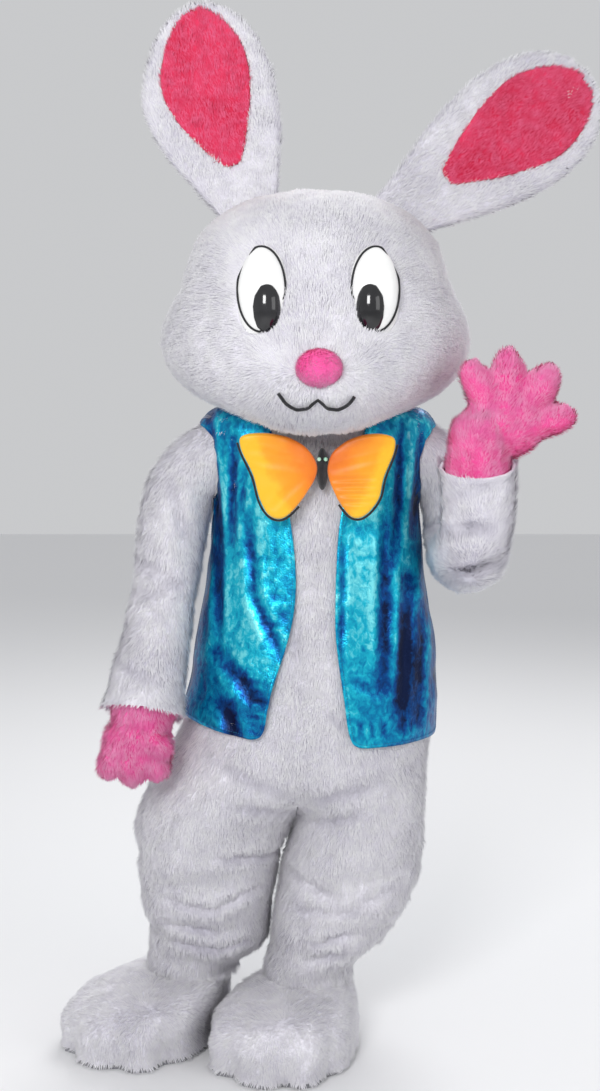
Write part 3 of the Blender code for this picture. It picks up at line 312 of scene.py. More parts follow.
BEAD_GLASS = plain_finish("bead_green_glass", (0.30, 0.62, 0.44), (0.70, 0.90, 0.76), 0.08,
                          200.0, 0.0001, coat=0.8)
print(len(bpy.data.materials), "finishes")

# %% [markdown]
# ## Which faces show
# A solid piece of cloth has an outer skin, an inner skin and narrow rims. Pile grows on the
# outer skin only, and not where the head, the waistcoat or the bow covers it. From every face
# some rays go out over the sky: the share that meets no piece says how open the face lies. The
# rims part the two skins. They are found by the wall under them, which seems far thicker there
# than elsewhere, because it is measured along the cloth and not through it.

# %% Rays from every face
import bmesh
import numpy as np
from mathutils import Vector, noise
from mathutils.bvhtree import BVHTree

# A ray starts a little off the skin, leaves the lowest part of the sky out and ends far away
SKY_RAYS = 90
RAY_LIFT = 0.001
RAY_LOWEST = 0.15
RAY_REACH = 3.0
# Cloth goes on smoothly below this angle. Under a rim it seems this many times as thick
RIM_ANGLE = math.radians(58)
RIM_DEPTH = 2.5
WELD = 1e-5
# A skin has at least this share of the largest area that goes on smoothly
SKIN_SHARE = 0.4
FLAT_ANGLE = math.radians(40)
SQUARE_ANGLE = math.radians(60)


def sky(count):
    """Directions spread evenly over a ball."""
    golden = math.pi * (3 - math.sqrt(5))
    heights = [1 - 2 * (k + 0.5) / count for k in range(count)]
    return [Vector((math.cos(k * golden) * math.sqrt(1 - h * h),
                    math.sin(k * golden) * math.sqrt(1 - h * h), h))
            for k, h in enumerate(heights)]


def whole_tree():
    """One search tree over all solids, and the name of the solid that each face is from."""
    corners, faces, owners = [], [], []
    for name in sorted(nodes):
        mesh = nodes[name].data
        start = len(corners)
        corners += [v.co.copy() for v in mesh.vertices]
        faces += [[start + i for i in face.vertices] for face in mesh.polygons]
        owners += [name] * len(mesh.polygons)
    return BVHTree.FromPolygons(corners, faces), owners


costume_tree, face_owner = whole_tree()
SKY = sky(SKY_RAYS)


def open_share(place, normal):
    """The share of the sky over a face that nothing covers."""
    start = place + normal * RAY_LIFT
    over = [ray for ray in SKY if ray.dot(normal) > RAY_LOWEST]
    return sum(costume_tree.ray_cast(start, ray, RAY_REACH)[0] is None
               for ray in over) / len(over)


def wall_depths(bm):
    """How thick the cloth is under each face. Under a rim's face it seems very thick."""
    tree = BVHTree.FromBMesh(bm)
    found = {}
    for face in bm.faces:
        start = face.calc_center_median() - face.normal * WELD
        hit = tree.ray_cast(start, -face.normal)
        found[face] = hit[3] if hit[0] else math.inf
    return found


def goes_on(edge):
    """Whether the cloth goes on smoothly over an edge."""
    return len(edge.link_faces) == 2 and edge.calc_face_angle(0) < RIM_ANGLE


def smooth_links(face, kept):
    """Over how many of its edges a face goes on smoothly into the kept ones."""
    return sum(goes_on(edge) and any(other in kept for other in edge.link_faces)
               for edge in face.edges)


def smooth_regions(left, share):
    """Groups of faces that go on smoothly into one another, as (area, open share, faces)."""
    found = []
    while left:
        ahead = [left.pop()]
        region = set(ahead)
        while ahead:
            for edge in ahead.pop().edges:
                for face in edge.link_faces if goes_on(edge) else ():
                    if face in left:
                        left.remove(face)
                        region.add(face)
                        ahead.append(face)
        area = sum(face.calc_area() for face in region)
        found.append((area, sum(f[share] * f.calc_area() for f in region) / area, region))
    return found


def outer_skin(name, shell):
    """A solid's welded mesh with open shares. Of a shell only the outer skin stays."""
    bm = bmesh.new()
    bm.from_mesh(nodes[name].data)
    bmesh.ops.remove_doubles(bm, verts=bm.verts, dist=WELD)
    share = bm.faces.layers.float.new("face_open")
    for face in bm.faces:
        face[share] = open_share(face.calc_center_median(), face.normal)
    if shell:
        walls = wall_depths(bm)
        usual = float(np.median(list(walls.values())))
        thin = {face for face in bm.faces if walls[face] < RIM_DEPTH * usual}
        regions = smooth_regions(thin, share)
        largest = max(area for area, _, _ in regions)
        kept = max((r for r in regions if r[0] > SKIN_SHARE * largest), key=lambda r: r[1])[2]
        for _ in range(2):
            kept |= {face for face in bm.faces if face not in kept and smooth_links(face, kept) > 1}
        bmesh.ops.delete(bm, geom=[f for f in bm.faces if f not in kept], context="FACES")
    shown = bm.verts.layers.float.new("open")
    for vert in bm.verts:
        vert[shown] = max((face[share] for face in vert.link_faces), default=0.0)
    bm.faces.layers.float.remove(share)
    bmesh.ops.join_triangles(bm, faces=bm.faces, angle_face_threshold=FLAT_ANGLE,
                             angle_shape_threshold=SQUARE_ANGLE)
    return bm


print(len(SKY), "rays a face, over", len(face_owner), "faces of solids")

# %% [markdown]
# ## Smooth cloth
# The solids are faceted to stay light. A subdivision surface rounds them without moving them
# from their place. Real cloth also lies uneven, so each piece then gets broad soft lumps and
# the creases from a short table: a line on the front or the back, its depth and its width.
# Sewn pieces meet in their seam, so the skins also reach over the thin gap between the solids.

# %% Smooth skins with creases
SEAM_REACH = 0.0011
# A crease fades where the cloth turns aside and towards its two ends. Across it lies a groove
# with a low ridge on each side
CREASE_ASIDE = 0.35
CREASE_ENDS = (0.06, 0.94)
GROOVE_STEEP = 1.6
RIDGE_HIGH = 0.3
RIDGE_AWAY = 1.4
RIDGE_WIDE = 0.5
NO_CREASES = {}


def crease_depth(points, normals, creases):
    """How far the creases push some points in. A crease is a line on the front or the back."""
    pushed = np.zeros(len(points))
    flat = points[:, (0, 2)]
    for side, rows in creases.items():
        facing = normals[:, 1] * (-1 if side == "front" else 1)
        seen = np.clip(facing / CREASE_ASIDE, 0, 1)
        for x0, z0, x1, z1, depth, width in rows:
            first = np.array((x0, z0))
            along = np.array((x1, z1)) - first
            share = np.clip((flat - first) @ along / (along @ along), 0, 1)
            away = np.linalg.norm(flat - first - share[:, None] * along, axis=1) / width
            ends = np.sin(np.pi * np.clip(share, *CREASE_ENDS)) ** 0.5
            groove = np.exp(-GROOVE_STEEP * away ** 2)
            ridge = RIDGE_HIGH * np.exp(-((away - RIDGE_AWAY) / RIDGE_WIDE) ** 2)
            pushed += seen * depth * ends * (groove - ridge)
    return pushed


def lumps(points, size, height, seed):
    """Broad soft unevenness, for an array of points."""
    shift = Vector((seed * 7.3, seed * 3.1, seed * 5.7))
    return np.array([noise.noise(Vector(p) / size + shift) for p in points]) * height


def points_of(mesh):
    """The places and the normals of a mesh's points, as two arrays."""
    places = np.empty(len(mesh.vertices) * 3)
    normals = np.empty(len(mesh.vertices) * 3)
    mesh.vertices.foreach_get("co", places)
    mesh.vertex_normals.foreach_get("vector", normals)
    return places.reshape(-1, 3), normals.reshape(-1, 3)


def move_out(mesh, amounts):
    """Moves each point of a mesh along its normal."""
    places, normals = points_of(mesh)
    places = places + normals * amounts(places, normals)[:, None]
    mesh.vertices.foreach_set("co", places.ravel())
    mesh.update()


def settled(made):
    """Applies an object's modifiers to its mesh."""
    graph = bpy.context.evaluated_depsgraph_get()
    mesh = bpy.data.meshes.new_from_object(made.evaluated_get(graph), depsgraph=graph)
    made.modifiers.clear()
    made.data = mesh


def mesh_from(name, bm):
    """A new mesh from some edited geometry."""
    mesh = bpy.data.meshes.new(name)
    bm.to_mesh(mesh)
    bm.free()
    return mesh


def smooth_piece(node, finish, levels=2, shell=True, shape=None, seamed=True,
                 sharp=True):
    """A rounded copy of a solid, or of its outer skin, moved out by the amounts of shape.

    A seamed skin keeps its corners and reaches over its seams. A sharp solid keeps its edges."""
    bm = outer_skin(node, shell)
    if shell and seamed:
        held = bm.verts.layers.float.new("crease_vert")
        for vert in bm.verts:
            vert[held] = 1.0 if vert.is_boundary else 0.0
    if sharp and not shell:
        crease = bm.edges.layers.float.new("crease_edge")
        for edge in bm.edges:
            if len(edge.link_faces) == 2 and edge.calc_face_angle(0) > RIM_ANGLE:
                edge[crease] = 1.0
    made = add_object(node + "_cloth", mesh_from(node + "_cloth", bm))
    rounding = made.modifiers.new("Rounding", "SUBSURF")
    rounding.levels = rounding.render_levels = levels
    settled(made)
    if shape:
        move_out(made.data, shape)
    if shell and seamed:
        reach_over(made.data, SEAM_REACH)
    made.data.materials.clear()
    made.data.materials.append(finish)
    made.data.shade_smooth()
    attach(made, "root")
    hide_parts(node)
    return made


def reach_over(mesh, reach):
    """Moves a skin's edges outwards in its own plane, so that two sewn skins meet."""
    bm = bmesh.new()
    bm.from_mesh(mesh)
    shifts = {}
    for edge in bm.edges:
        if edge.is_boundary:
            face = edge.link_faces[0]
            first, second = edge.verts
            out = (second.co - first.co).cross(face.normal).normalized()
            if out.dot(first.co - face.calc_center_median()) < 0:
                out = -out
            for vert in edge.verts:
                shifts[vert] = shifts.get(vert, Vector()) + out
    for vert, out in shifts.items():
        vert.co += out.normalized() * reach
    bm.to_mesh(mesh)
    bm.free()


def thicken(made, wall):
    """Gives a skin its cloth's thickness, inwards."""
    wadding = made.modifiers.new("Thickness", "SOLIDIFY")
    wadding.thickness = wall
    wadding.offset = -1.0
    settled(made)
    made.data.shade_smooth()


# %% [markdown]
# ## Pile
# Hair curves would be the usual way to make plush, but they don't leave Blender as a mesh. A
# lock of pile is one slim triangle instead, wide at its root and pointed at its tip. The locks
# stand on points spread by area, lean the way the pile is brushed and swirl in clumps. A lock
# that would go through another piece is cut short, except across the seam to a piece that is
# sewn on beside its own. In a crease the pile closes up and gets less light, so it gets painted
# shade there.

# %% Grow pile
DOWN = (((0, 0, 0), (0, 0, -1)),)
SMALLEST_OPEN = 0.015
SEWN_TOGETHER = ("suit", "head")
# Sizes in metres: of a clump, of a lock at its root, of how deep the roots sit, and of the gaps
# to other pieces and to the floor
CLUMP = 0.022
LOCK_WIDE = 0.0027
ROOT_DEEP = 0.0008
PIECE_GAP = 0.002
FLOOR_GAP = 0.0005
# A lock's length and width are the usual ones times the first value, plus up to the second
LOCK_LONGS = (0.65, 0.6)
LOCK_WIDTHS = (0.7, 0.6)
SHORTEST_LOCK = 0.25
# How much each of these turns a lock: standing up, straying, curling at its tip, facing aside
STANDING = 0.75
STRAYING = 0.14
CURLING = 0.22
FACING = 0.12
CLUMP_LONG = 0.5
# The noise behind the clumps starts from the clock if it gets no seed
CLUMP_SEED = 1
noise.seed_set(CLUMP_SEED)
# Painted shade: a crease of the first depth is painted as dark as the second value, and roots get
# the third
CREASE_PAINTED_SHADE = 0.0045
DARKEST_PAINTED_SHADE = 0.1
ROOT_PAINTED_LIGHT = 0.15
SHADE_LEAN = 0.35


def unit(vectors):
    """The same vectors with length one."""
    return vectors / np.maximum(np.linalg.norm(vectors, axis=1), 1e-9)[:, None]


def spread_roots(mesh, density, draws):
    """Points spread by area over the open faces, with their normals and the open area."""
    mesh.calc_loop_triangles()
    corners = np.empty(len(mesh.loop_triangles) * 3, np.int32)
    mesh.loop_triangles.foreach_get("vertices", corners)
    corners = corners.reshape(-1, 3)
    places, normals = points_of(mesh)
    shares = np.empty(len(mesh.vertices))
    mesh.attributes["open"].data.foreach_get("value", shares)
    a, b, c = (places[corners[:, k]] for k in range(3))
    areas = np.linalg.norm(np.cross(b - a, c - a), axis=1) / 2
    areas[shares[corners].max(axis=1) < SMALLEST_OPEN] = 0.0
    number = int(areas.sum() * density)
    picked = draws.choice(len(corners), number, p=areas / areas.sum())
    u, v = draws.random(number), draws.random(number)
    over = u + v > 1
    u[over], v[over] = 1 - u[over], 1 - v[over]
    parts = (1 - u - v, u, v)
    roots, stands = (sum(values[corners[picked, k]] * parts[k][:, None] for k in range(3))
                     for values in (places, normals))
    return roots, unit(stands), areas.sum()


def combed(points, strokes):
    """The way the pile is brushed at some points, from strokes of (place, direction)."""
    near = np.stack([np.linalg.norm(points - np.array(place), axis=1) for place, _ in strokes])
    share = 1 / (near + 0.01) ** 4
    share /= share.sum(axis=0)
    return sum(part[:, None] * np.array(way) for part, (_, way) in zip(share, strokes))


def covers(other, node):
    """Whether a piece that a lock meets lies over it, and isn't sewn on beside its own."""
    kind = node.split("_")[0]
    return other != node and not (kind in SEWN_TOGETHER and other.startswith(kind))


def grow_pile(made, node, finish, slot, density, length, seed, strokes=DOWN, lie=1.15,
              swirl=0.4, width=LOCK_WIDE, creases=NO_CREASES):
    """Locks of pile on a piece, as one mesh that goes with it. They carry painted shade at their
    roots and in creases.
    """
    draws = np.random.default_rng(seed)
    roots, normals, area = spread_roots(made.data, density, draws)
    number = len(roots)
    shift = Vector((seed * 1.7, seed * 2.9, seed * 0.7))
    clumps = np.array([noise.noise_vector(Vector(p) / CLUMP + shift) for p in roots])
    stray = draws.normal(0.0, STRAYING, (number, 3))
    brushed = combed(roots, strokes)
    brushed = unit(brushed - normals * np.sum(brushed * normals, axis=1)[:, None])
    lean = brushed * lie + clumps * swirl + stray
    lean -= normals * np.sum(lean * normals, axis=1)[:, None]
    ways = unit(normals * STANDING + lean)
    longs = length * (LOCK_LONGS[0] + LOCK_LONGS[1] * draws.random(number))
    longs *= 1 + CLUMP_LONG * clumps[:, 0]
    for k in range(number):
        hit = costume_tree.ray_cast(Vector(roots[k]) + Vector(normals[k]) * PIECE_GAP,
                                    Vector(ways[k]), longs[k] + 2 * PIECE_GAP)
        if hit[0] is not None and covers(face_owner[hit[2]], node):
            longs[k] = max(0.0, hit[3] - PIECE_GAP)
    drop = np.minimum(ways[:, 2] + lean[:, 2] * CURLING, -1e-6)
    longs = np.minimum(longs, (roots[:, 2] - cad_box[0].z - FLOOR_GAP) / -drop)
    kept = longs > length * SHORTEST_LOCK
    roots, normals, ways, lean, longs = (x[kept] for x in (roots, normals, ways, lean, longs))
    number = len(roots)
    across = unit(np.cross(ways, normals + draws.normal(0, FACING, (number, 3))))
    across *= (width / 2 * (LOCK_WIDTHS[0] + LOCK_WIDTHS[1] * draws.random(number)))[:, None]
    sunk = roots - normals * ROOT_DEEP
    tips = roots + (ways + lean * CURLING) * longs[:, None]
    corners = np.stack([sunk + across, tips, sunk - across], axis=1).reshape(-1, 3)
    mesh = bpy.data.meshes.new(node + "_pile")
    mesh.vertices.add(len(corners))
    mesh.vertices.foreach_set("co", corners.ravel())
    mesh.loops.add(len(corners))
    mesh.loops.foreach_set("vertex_index", np.arange(len(corners)))
    mesh.polygons.add(number)
    mesh.polygons.foreach_set("loop_start", np.arange(number) * 3)
    mesh.update()
    # Painted shade: each lock is darker at its root and darker still in a crease
    painted_lock_light = mesh.attributes.new("painted_lock_light", "FLOAT", "POINT")
    crease_painted_light = np.clip(1 - crease_depth(roots, normals, creases) / CREASE_PAINTED_SHADE, DARKEST_PAINTED_SHADE, 1.0)
    painted_lock_light.data.foreach_set("value", np.outer(crease_painted_light, [ROOT_PAINTED_LIGHT, 1.0, ROOT_PAINTED_LIGHT]).ravel())
    mesh.materials.append(finish)
    mesh.shade_smooth()
    shading = unit(normals + ways * SHADE_LEAN)
    mesh.normals_split_custom_set_from_vertices(np.repeat(shading, 3, axis=0))
    pile = add_object(node + "_pile", mesh)
    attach(pile, "root")
    print(f"{node}: {number} locks on {area:.3f} square metres")


# %% [markdown]
# ## The suit
# The suit is cut as two fronts and two backs with the legs in one, and plush sleeves. The pile
# is brushed down. The knees and ankles gather in rolls, which the solids have already. The
# creases here are the smaller ones that run between the rolls and up into the crotch.

# %% Suit and sleeves
# Locks on a square metre, and the number that starts the first piece's random draws
PILE_DENSITY = 126000
FIRST_SEED = 11
SUIT_WALL = 0.006
# Each crease runs from one place to another, across and up, and then has its depth and width
SUIT_CREASES = {
    "front": (
        (-0.054, -0.743, -0.221, -0.670, 0.005, 0.018),
        (-0.050, -0.790, -0.180, -0.755, 0.005, 0.016),
        (-0.020, -0.750, 0.130, -0.715, 0.005, 0.018),
        (-0.020, -0.820, 0.090, -0.775, 0.005, 0.016),
        (-0.206, -0.874, -0.058, -0.898, 0.008, 0.013),
        (-0.310, -0.975, -0.213, -1.000, 0.009, 0.013),
        (-0.235, -1.000, -0.127, -0.957, 0.009, 0.012),
        (-0.322, -1.034, -0.206, -1.048, 0.008, 0.011),
        (-0.300, -1.076, -0.198, -1.092, 0.009, 0.011),
        (-0.215, -1.092, -0.148, -1.076, 0.009, 0.010),
        (-0.058, -0.929, 0.047, -0.967, 0.007, 0.015),
        (-0.062, -0.995, 0.074, -0.991, 0.006, 0.014),
        (0.050, -0.994, 0.171, -0.937, 0.006, 0.015),
        (-0.008, -1.062, 0.074, -1.038, 0.008, 0.011),
        (-0.020, -1.100, 0.060, -1.085, 0.006, 0.011),
        (-0.070, -0.240, -0.030, -0.520, 0.003, 0.020),
        (0.020, -0.560, 0.050, -0.600, 0.004, 0.010),
    ),
    "back": (
        (-0.02, -0.60, -0.17, -0.68, 0.008, 0.022),
        (0.04, -0.61, 0.18, -0.69, 0.008, 0.022),
        (-0.28, -0.80, -0.12, -0.85, 0.007, 0.018),
        (0.00, -0.90, 0.16, -0.83, 0.007, 0.018),
        (-0.29, -0.96, -0.16, -0.93, 0.007, 0.016),
        (-0.01, -1.00, 0.12, -0.96, 0.007, 0.016),
        (-0.28, -1.05, -0.18, -1.06, 0.006, 0.014),
        (-0.03, -1.08, 0.08, -1.06, 0.006, 0.014),
    ),
}


def plush_shape(creases, height=0.003):
    """The amounts by which a plush piece moves out. One noise runs across all seams."""
    return lambda points, normals: (lumps(points, 0.07, height, 1)
                                    - crease_depth(points, normals, creases))


dressed = {}


def dress(node, finish, slot, length, shape, wall=None, density=1.0, sharp=True, **pile):
    """A plush piece with its pile. With a wall it is one skin, which gets that thickness."""
    piece = smooth_piece(node, finish, shell=wall is not None, shape=shape, sharp=sharp)
    grow_pile(piece, node, finish, slot, PILE_DENSITY * density, length,
              FIRST_SEED + len(dressed), **pile)
    if wall is not None:
        thicken(piece, wall)
    dressed[node] = piece
    return piece


for side in ("right", "left"):
    for half in ("front", "back"):
        creases = {half: SUIT_CREASES[half]}
        dress(f"suit_{half}_{side}", WHITE_PLUSH, "white_plush", 0.012, plush_shape(creases),
              SUIT_WALL, creases=creases)

# %% [markdown]
# ## The sleeves
# One sleeve hangs and gathers above its elbow. The other is raised, so its cloth folds in the
# bend. The pile follows each sleeve down to its hem and turns upwards along the raised forearm.

# %% Sleeves
SLEEVE_CREASES = {
    "sleeve_left": {
        "front": (
            (-0.40, -0.26, -0.28, -0.31, 0.008, 0.018),
            (-0.39, -0.34, -0.29, -0.32, 0.007, 0.016),
            (-0.30, -0.10, -0.27, -0.22, 0.006, 0.018),
            (-0.42, -0.46, -0.32, -0.50, 0.005, 0.016),
        ),
        "back": (
            (-0.27, -0.25, -0.37, -0.30, 0.008, 0.020),
            (-0.40, -0.40, -0.31, -0.43, 0.006, 0.018),
        ),
    },
    "sleeve_right": {
        "front": (
            (0.23, -0.21, 0.33, -0.19, 0.009, 0.020),
            (0.26, -0.30, 0.38, -0.26, 0.007, 0.018),
            (0.36, -0.10, 0.26, -0.13, 0.005, 0.016),
        ),
        "back": (
            (0.23, -0.16, 0.33, -0.24, 0.008, 0.020),
            (0.26, -0.28, 0.37, -0.27, 0.007, 0.018),
        ),
    },
}
SLEEVE_STROKES = {
    "sleeve_left": (((-0.3, 0, -0.2), (-0.2, 0, -1)), ((-0.35, -0.1, -0.5), (-0.1, -0.3, -1))),
    "sleeve_right": (((0.26, 0, -0.1), (0.3, 0, -1)), ((0.30, -0.05, -0.30), (0.2, 0.9, 0)),
                     ((0.31, -0.16, -0.17), (0, -0.2, 1)), ((0.31, -0.2, -0.08), (0, -0.3, 1))),
}
for node, creases in SLEEVE_CREASES.items():
    dress(node, WHITE_PLUSH, "white_plush", 0.013, plush_shape(creases), SUIT_WALL,
          strokes=SLEEVE_STROKES[node], creases=creases)

# %% [markdown]
# ## Head, ears and nose
# The head is a foam shell with plush glued over it, so it keeps its round form and has no
# creases. Its pile is brushed back from the muzzle. The ears are stuffed and stiff, with a
# fuzzy rim round the rose lining. The nose is a small stuffed ball.

# %% Head and ears
HEAD_WALL = 0.012
LINING_LIFT = 0.002
HEAD_STROKES = (
    ((0, -0.30, 0.04), (0, 0.6, -0.8)), ((0, -0.28, 0.21), (0, 0.5, 0.8)),
    ((-0.22, -0.2, 0.10), (-0.9, 0.3, -0.3)), ((0.22, -0.2, 0.10), (0.9, 0.3, -0.3)),
    ((0, -0.1, 0.45), (0, 1, 0.1)), ((0, 0.2, 0.3), (0, 0.3, -1)), ((0, 0.2, 0.1), (0, 0, -1)),
)
for node in ("head_face", "head_back"):
    piece = dress(node, WHITE_PLUSH, "white_plush", 0.011, plush_shape(NO_CREASES), HEAD_WALL,
                  strokes=HEAD_STROKES)


def lifted(points, normals):
    """The amounts by which an ear's lining lies over the ear."""
    return np.full(len(points), LINING_LIFT)


for side, outwards in (("left", (-0.2, 0, 0.9)), ("right", (0.7, 0, 0.6))):
    along_ear = (((0, 0, 0), outwards),)
    piece = dress("ear_" + side, WHITE_PLUSH, "white_plush", 0.011,
                  plush_shape(NO_CREASES, 0.002), strokes=along_ear, lie=0.8)
    dress("ear_lining_" + side, ROSE_PLUSH, "rose_plush", 0.009, lifted, density=1.1,
          sharp=False, strokes=along_ear, lie=0.8)
piece = dress("nose", PINK_PLUSH, "pink_plush", 0.005, None, density=2, lie=0.6, width=0.0014)

# %% [markdown]
# ## Gloves and feet
# Gloves and feet are cut from the same plush as the rest. On the gloves the fingers fan out, so
# the pile is brushed towards their tips. The feet are plush over stiff shoes and have three
# toes each, with a flat rubber sole.

# %% Gloves and feet
GLOVE_WALL = 0.003
FOOT_WALL = 0.006


def foot_strokes(node):
    """A foot's pile parts along its top and falls to both sides, and down at the toes."""
    low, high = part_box(node)
    middle = (low + high) / 2
    return (((low.x, middle.y, middle.z), (-1, 0.3, -0.6)),
            ((high.x, middle.y, middle.z), (1, 0.3, -0.6)),
            ((middle.x, low.y, low.z), (0, 0.2, -1)), ((middle.x, high.y, middle.z), (0, 0, -1)))


for side, fingertips in (("left", (0, -0.2, -0.9)), ("right", (0.2, -0.1, 0.9))):
    dress("glove_" + side, PINK_PLUSH, "pink_plush", 0.010, plush_shape(NO_CREASES, 0.002),
          GLOVE_WALL, density=1.3, strokes=(((0, 0, 0), fingertips),), lie=0.8)
    node = "foot_upper_" + side
    dress(node, WHITE_PLUSH, "white_plush", 0.010, plush_shape(NO_CREASES), FOOT_WALL,
          strokes=foot_strokes(node))
    sole = nodes["foot_sole_" + side].data
    sole.materials.clear()
    sole.materials.append(SOLE_RUBBER)

# %% [markdown]
# ## The waistcoat
# Foil cloth is thin and stiff. It hangs from the shoulders in long folds, breaks into short
# sharp creases at the front edges and crinkles all over. The long folds and the breaks are
# listed, and a ridged noise lays the crinkles between them.

# %% Waistcoat
VEST_NODES = ("vest_front_right", "vest_front_left", "vest_back")
VEST_WALL = 0.0016
FOLD_RELIEF = 0.7
VEST_CREASES = {
    "front": (
        (-0.223, 0.03, -0.204, -0.22, 0.008, 0.012),
        (-0.168, -0.02, -0.176, -0.23, 0.008, 0.011),
        (-0.150, -0.08, -0.158, -0.18, 0.005, 0.009),
        (-0.202, -0.21, -0.203, -0.46, 0.007, 0.013),
        (-0.139, -0.17, -0.128, -0.35, 0.008, 0.014),
        (-0.132, -0.33, -0.076, -0.45, 0.010, 0.015),
        (-0.200, -0.46, -0.120, -0.545, 0.009, 0.020),
        (-0.190, -0.56, -0.160, -0.64, 0.008, 0.020),
        (-0.100, -0.336, -0.055, -0.342, 0.004, 0.005),
        (-0.104, -0.360, -0.058, -0.370, 0.004, 0.005),
        (-0.106, -0.385, -0.064, -0.398, 0.004, 0.005),
        (-0.150, -0.500, -0.098, -0.515, 0.004, 0.006),
        (-0.154, -0.536, -0.106, -0.548, 0.004, 0.006),
        (-0.152, -0.570, -0.112, -0.580, 0.004, 0.006),
        (-0.170, -0.250, -0.065, -0.262, 0.003, 0.005),
        (0.168, 0.01, 0.160, -0.28, 0.009, 0.012),
        (0.212, 0.00, 0.198, -0.22, 0.008, 0.011),
        (0.140, -0.18, 0.132, -0.52, 0.010, 0.018),
        (0.185, -0.30, 0.176, -0.60, 0.010, 0.020),
        (0.215, -0.36, 0.205, -0.60, 0.008, 0.014),
        (0.052, -0.20, 0.046, -0.48, 0.006, 0.008),
        (0.060, -0.25, 0.120, -0.255, 0.003, 0.006),
        (0.056, -0.36, 0.118, -0.365, 0.003, 0.006),
        (0.070, -0.50, 0.125, -0.54, 0.005, 0.010),
        (0.082, -0.585, 0.088, -0.62, 0.004, 0.006),
        (0.104, -0.585, 0.112, -0.62, 0.004, 0.006),
        (0.128, -0.585, 0.137, -0.62, 0.004, 0.006),
    ),
    "back": (
        (-0.180, 0.00, -0.140, -0.30, 0.009, 0.014),
        (0.185, 0.00, 0.150, -0.28, 0.009, 0.014),
        (-0.215, -0.05, -0.205, -0.34, 0.008, 0.012),
        (0.212, -0.05, 0.200, -0.36, 0.008, 0.012),
        (-0.100, -0.08, -0.060, -0.40, 0.008, 0.018),
        (0.110, -0.06, 0.040, -0.34, 0.008, 0.018),
        (-0.010, -0.20, 0.020, -0.60, 0.008, 0.020),
        (-0.190, -0.38, -0.080, -0.56, 0.009, 0.018),
        (0.190, -0.36, 0.090, -0.58, 0.009, 0.018),
        (-0.060, -0.50, -0.090, -0.62, 0.006, 0.012),
        (0.050, -0.52, 0.075, -0.63, 0.006, 0.012),
        (-0.200, -0.52, -0.150, -0.60, 0.006, 0.014),
        (0.215, -0.50, 0.160, -0.60, 0.006, 0.014),
    ),
}
# How much painted light the foil has at first, and how much painted shade the folds and the turned
# sides get
PAINTED_LIGHT_MIDDLE = 0.46
FOLD_PAINTED_SHADE = 42
SIDE_PAINTED_SHADE = 0.30
SIDE_TURN = 1.5
# Patches of painted highlight and painted shade: place across and up, size across and up, and by
# how much the tone changes there
PAINTED_LIGHT_PATCHES = (
    (-0.17, -0.57, 0.08, 0.10, -0.16), (0.18, -0.52, 0.06, 0.14, -0.24),
    (0.09, -0.30, 0.05, 0.20, 0.16), (-0.15, -0.40, 0.06, 0.10, 0.14),
    (-0.10, -0.20, 0.05, 0.10, 0.10), (0.20, -0.10, 0.05, 0.12, 0.04),
)


def crinkles(points, size, height, seed):
    """Sharp little ridges, for an array of points."""
    shift = Vector((seed * 2.3, seed * 4.1, seed * 6.7))
    stretch = Vector((1.0, 1.0, 0.6))
    values = [1 - abs(noise.noise(Vector(p) * stretch / size + shift)) * 2 for p in points]
    return np.array(values) * height


def foil_shape(points, normals):
    """The amounts by which the waistcoat moves out."""
    return (lumps(points, 0.06, 0.003, 7) + crinkles(points, 0.030, 0.0012, 8)
            + crinkles(points, 0.012, 0.0005, 9)
            - crease_depth(points, normals, VEST_CREASES) * FOLD_RELIEF)


def painted_foil_light(points, normals):
    """How dark or light the foil is painted, from nought in its folds, as painted shade, to one on
    their backs, as painted highlight.
    """
    value = PAINTED_LIGHT_MIDDLE - crease_depth(points, normals, VEST_CREASES) * FOLD_PAINTED_SHADE
    value += lumps(points, 0.05, 0.10, 7) + crinkles(points, 0.030, 0.07, 8)
    # Painted shade where the cloth turns aside from the front light
    value -= SIDE_PAINTED_SHADE * np.clip(1 - np.abs(normals[:, 1]) * SIDE_TURN, 0, 1)
    for x, z, across, high, change in PAINTED_LIGHT_PATCHES:
        away = ((points[:, 0] - x) / across) ** 2 + ((points[:, 2] - z) / high) ** 2
        value += change * np.exp(-away)
    return np.clip(value, 0, 1)


def store(mesh, name, amounts):
    """Keeps a value on each point of a mesh."""
    values = amounts(*points_of(mesh))
    mesh.attributes.new(name, "FLOAT", "POINT").data.foreach_set("value", values)


for node in VEST_NODES:
    piece = smooth_piece(node, FOIL_CLOTH, 3, shape=foil_shape, seamed=False)
    # The painted shade and highlight are kept on each point of the waistcoat
    store(piece.data, "painted_fold_light", painted_foil_light)
    dressed[node] = piece
print("waistcoat with", sum(len(rows) for rows in VEST_CREASES.values()), "folds")

# %% [markdown]
# ## Topstitching
# The waistcoat's edges are turned in and stitched. Modelled stitches catch the light better
# than a bump. The outline of each skin is walked, moved in from the edge and set with short
# rods of thread, one every few millimetres.

# %% Stitches along the edges
STITCH_GAP = 0.0055
STITCH_LONG = 0.0036
STITCH_THICK = 0.0006
VEST_INSET = 0.007
# A rod's points, how far it stands proud in thicknesses, and where its rings are and how thick
ROD_POINTS = 10
ROD_PROUD = 0.6
ROD_RINGS = ((-0.5, 0.0), (-0.35, 1.0), (0.35, 1.0), (0.5, 0.0))


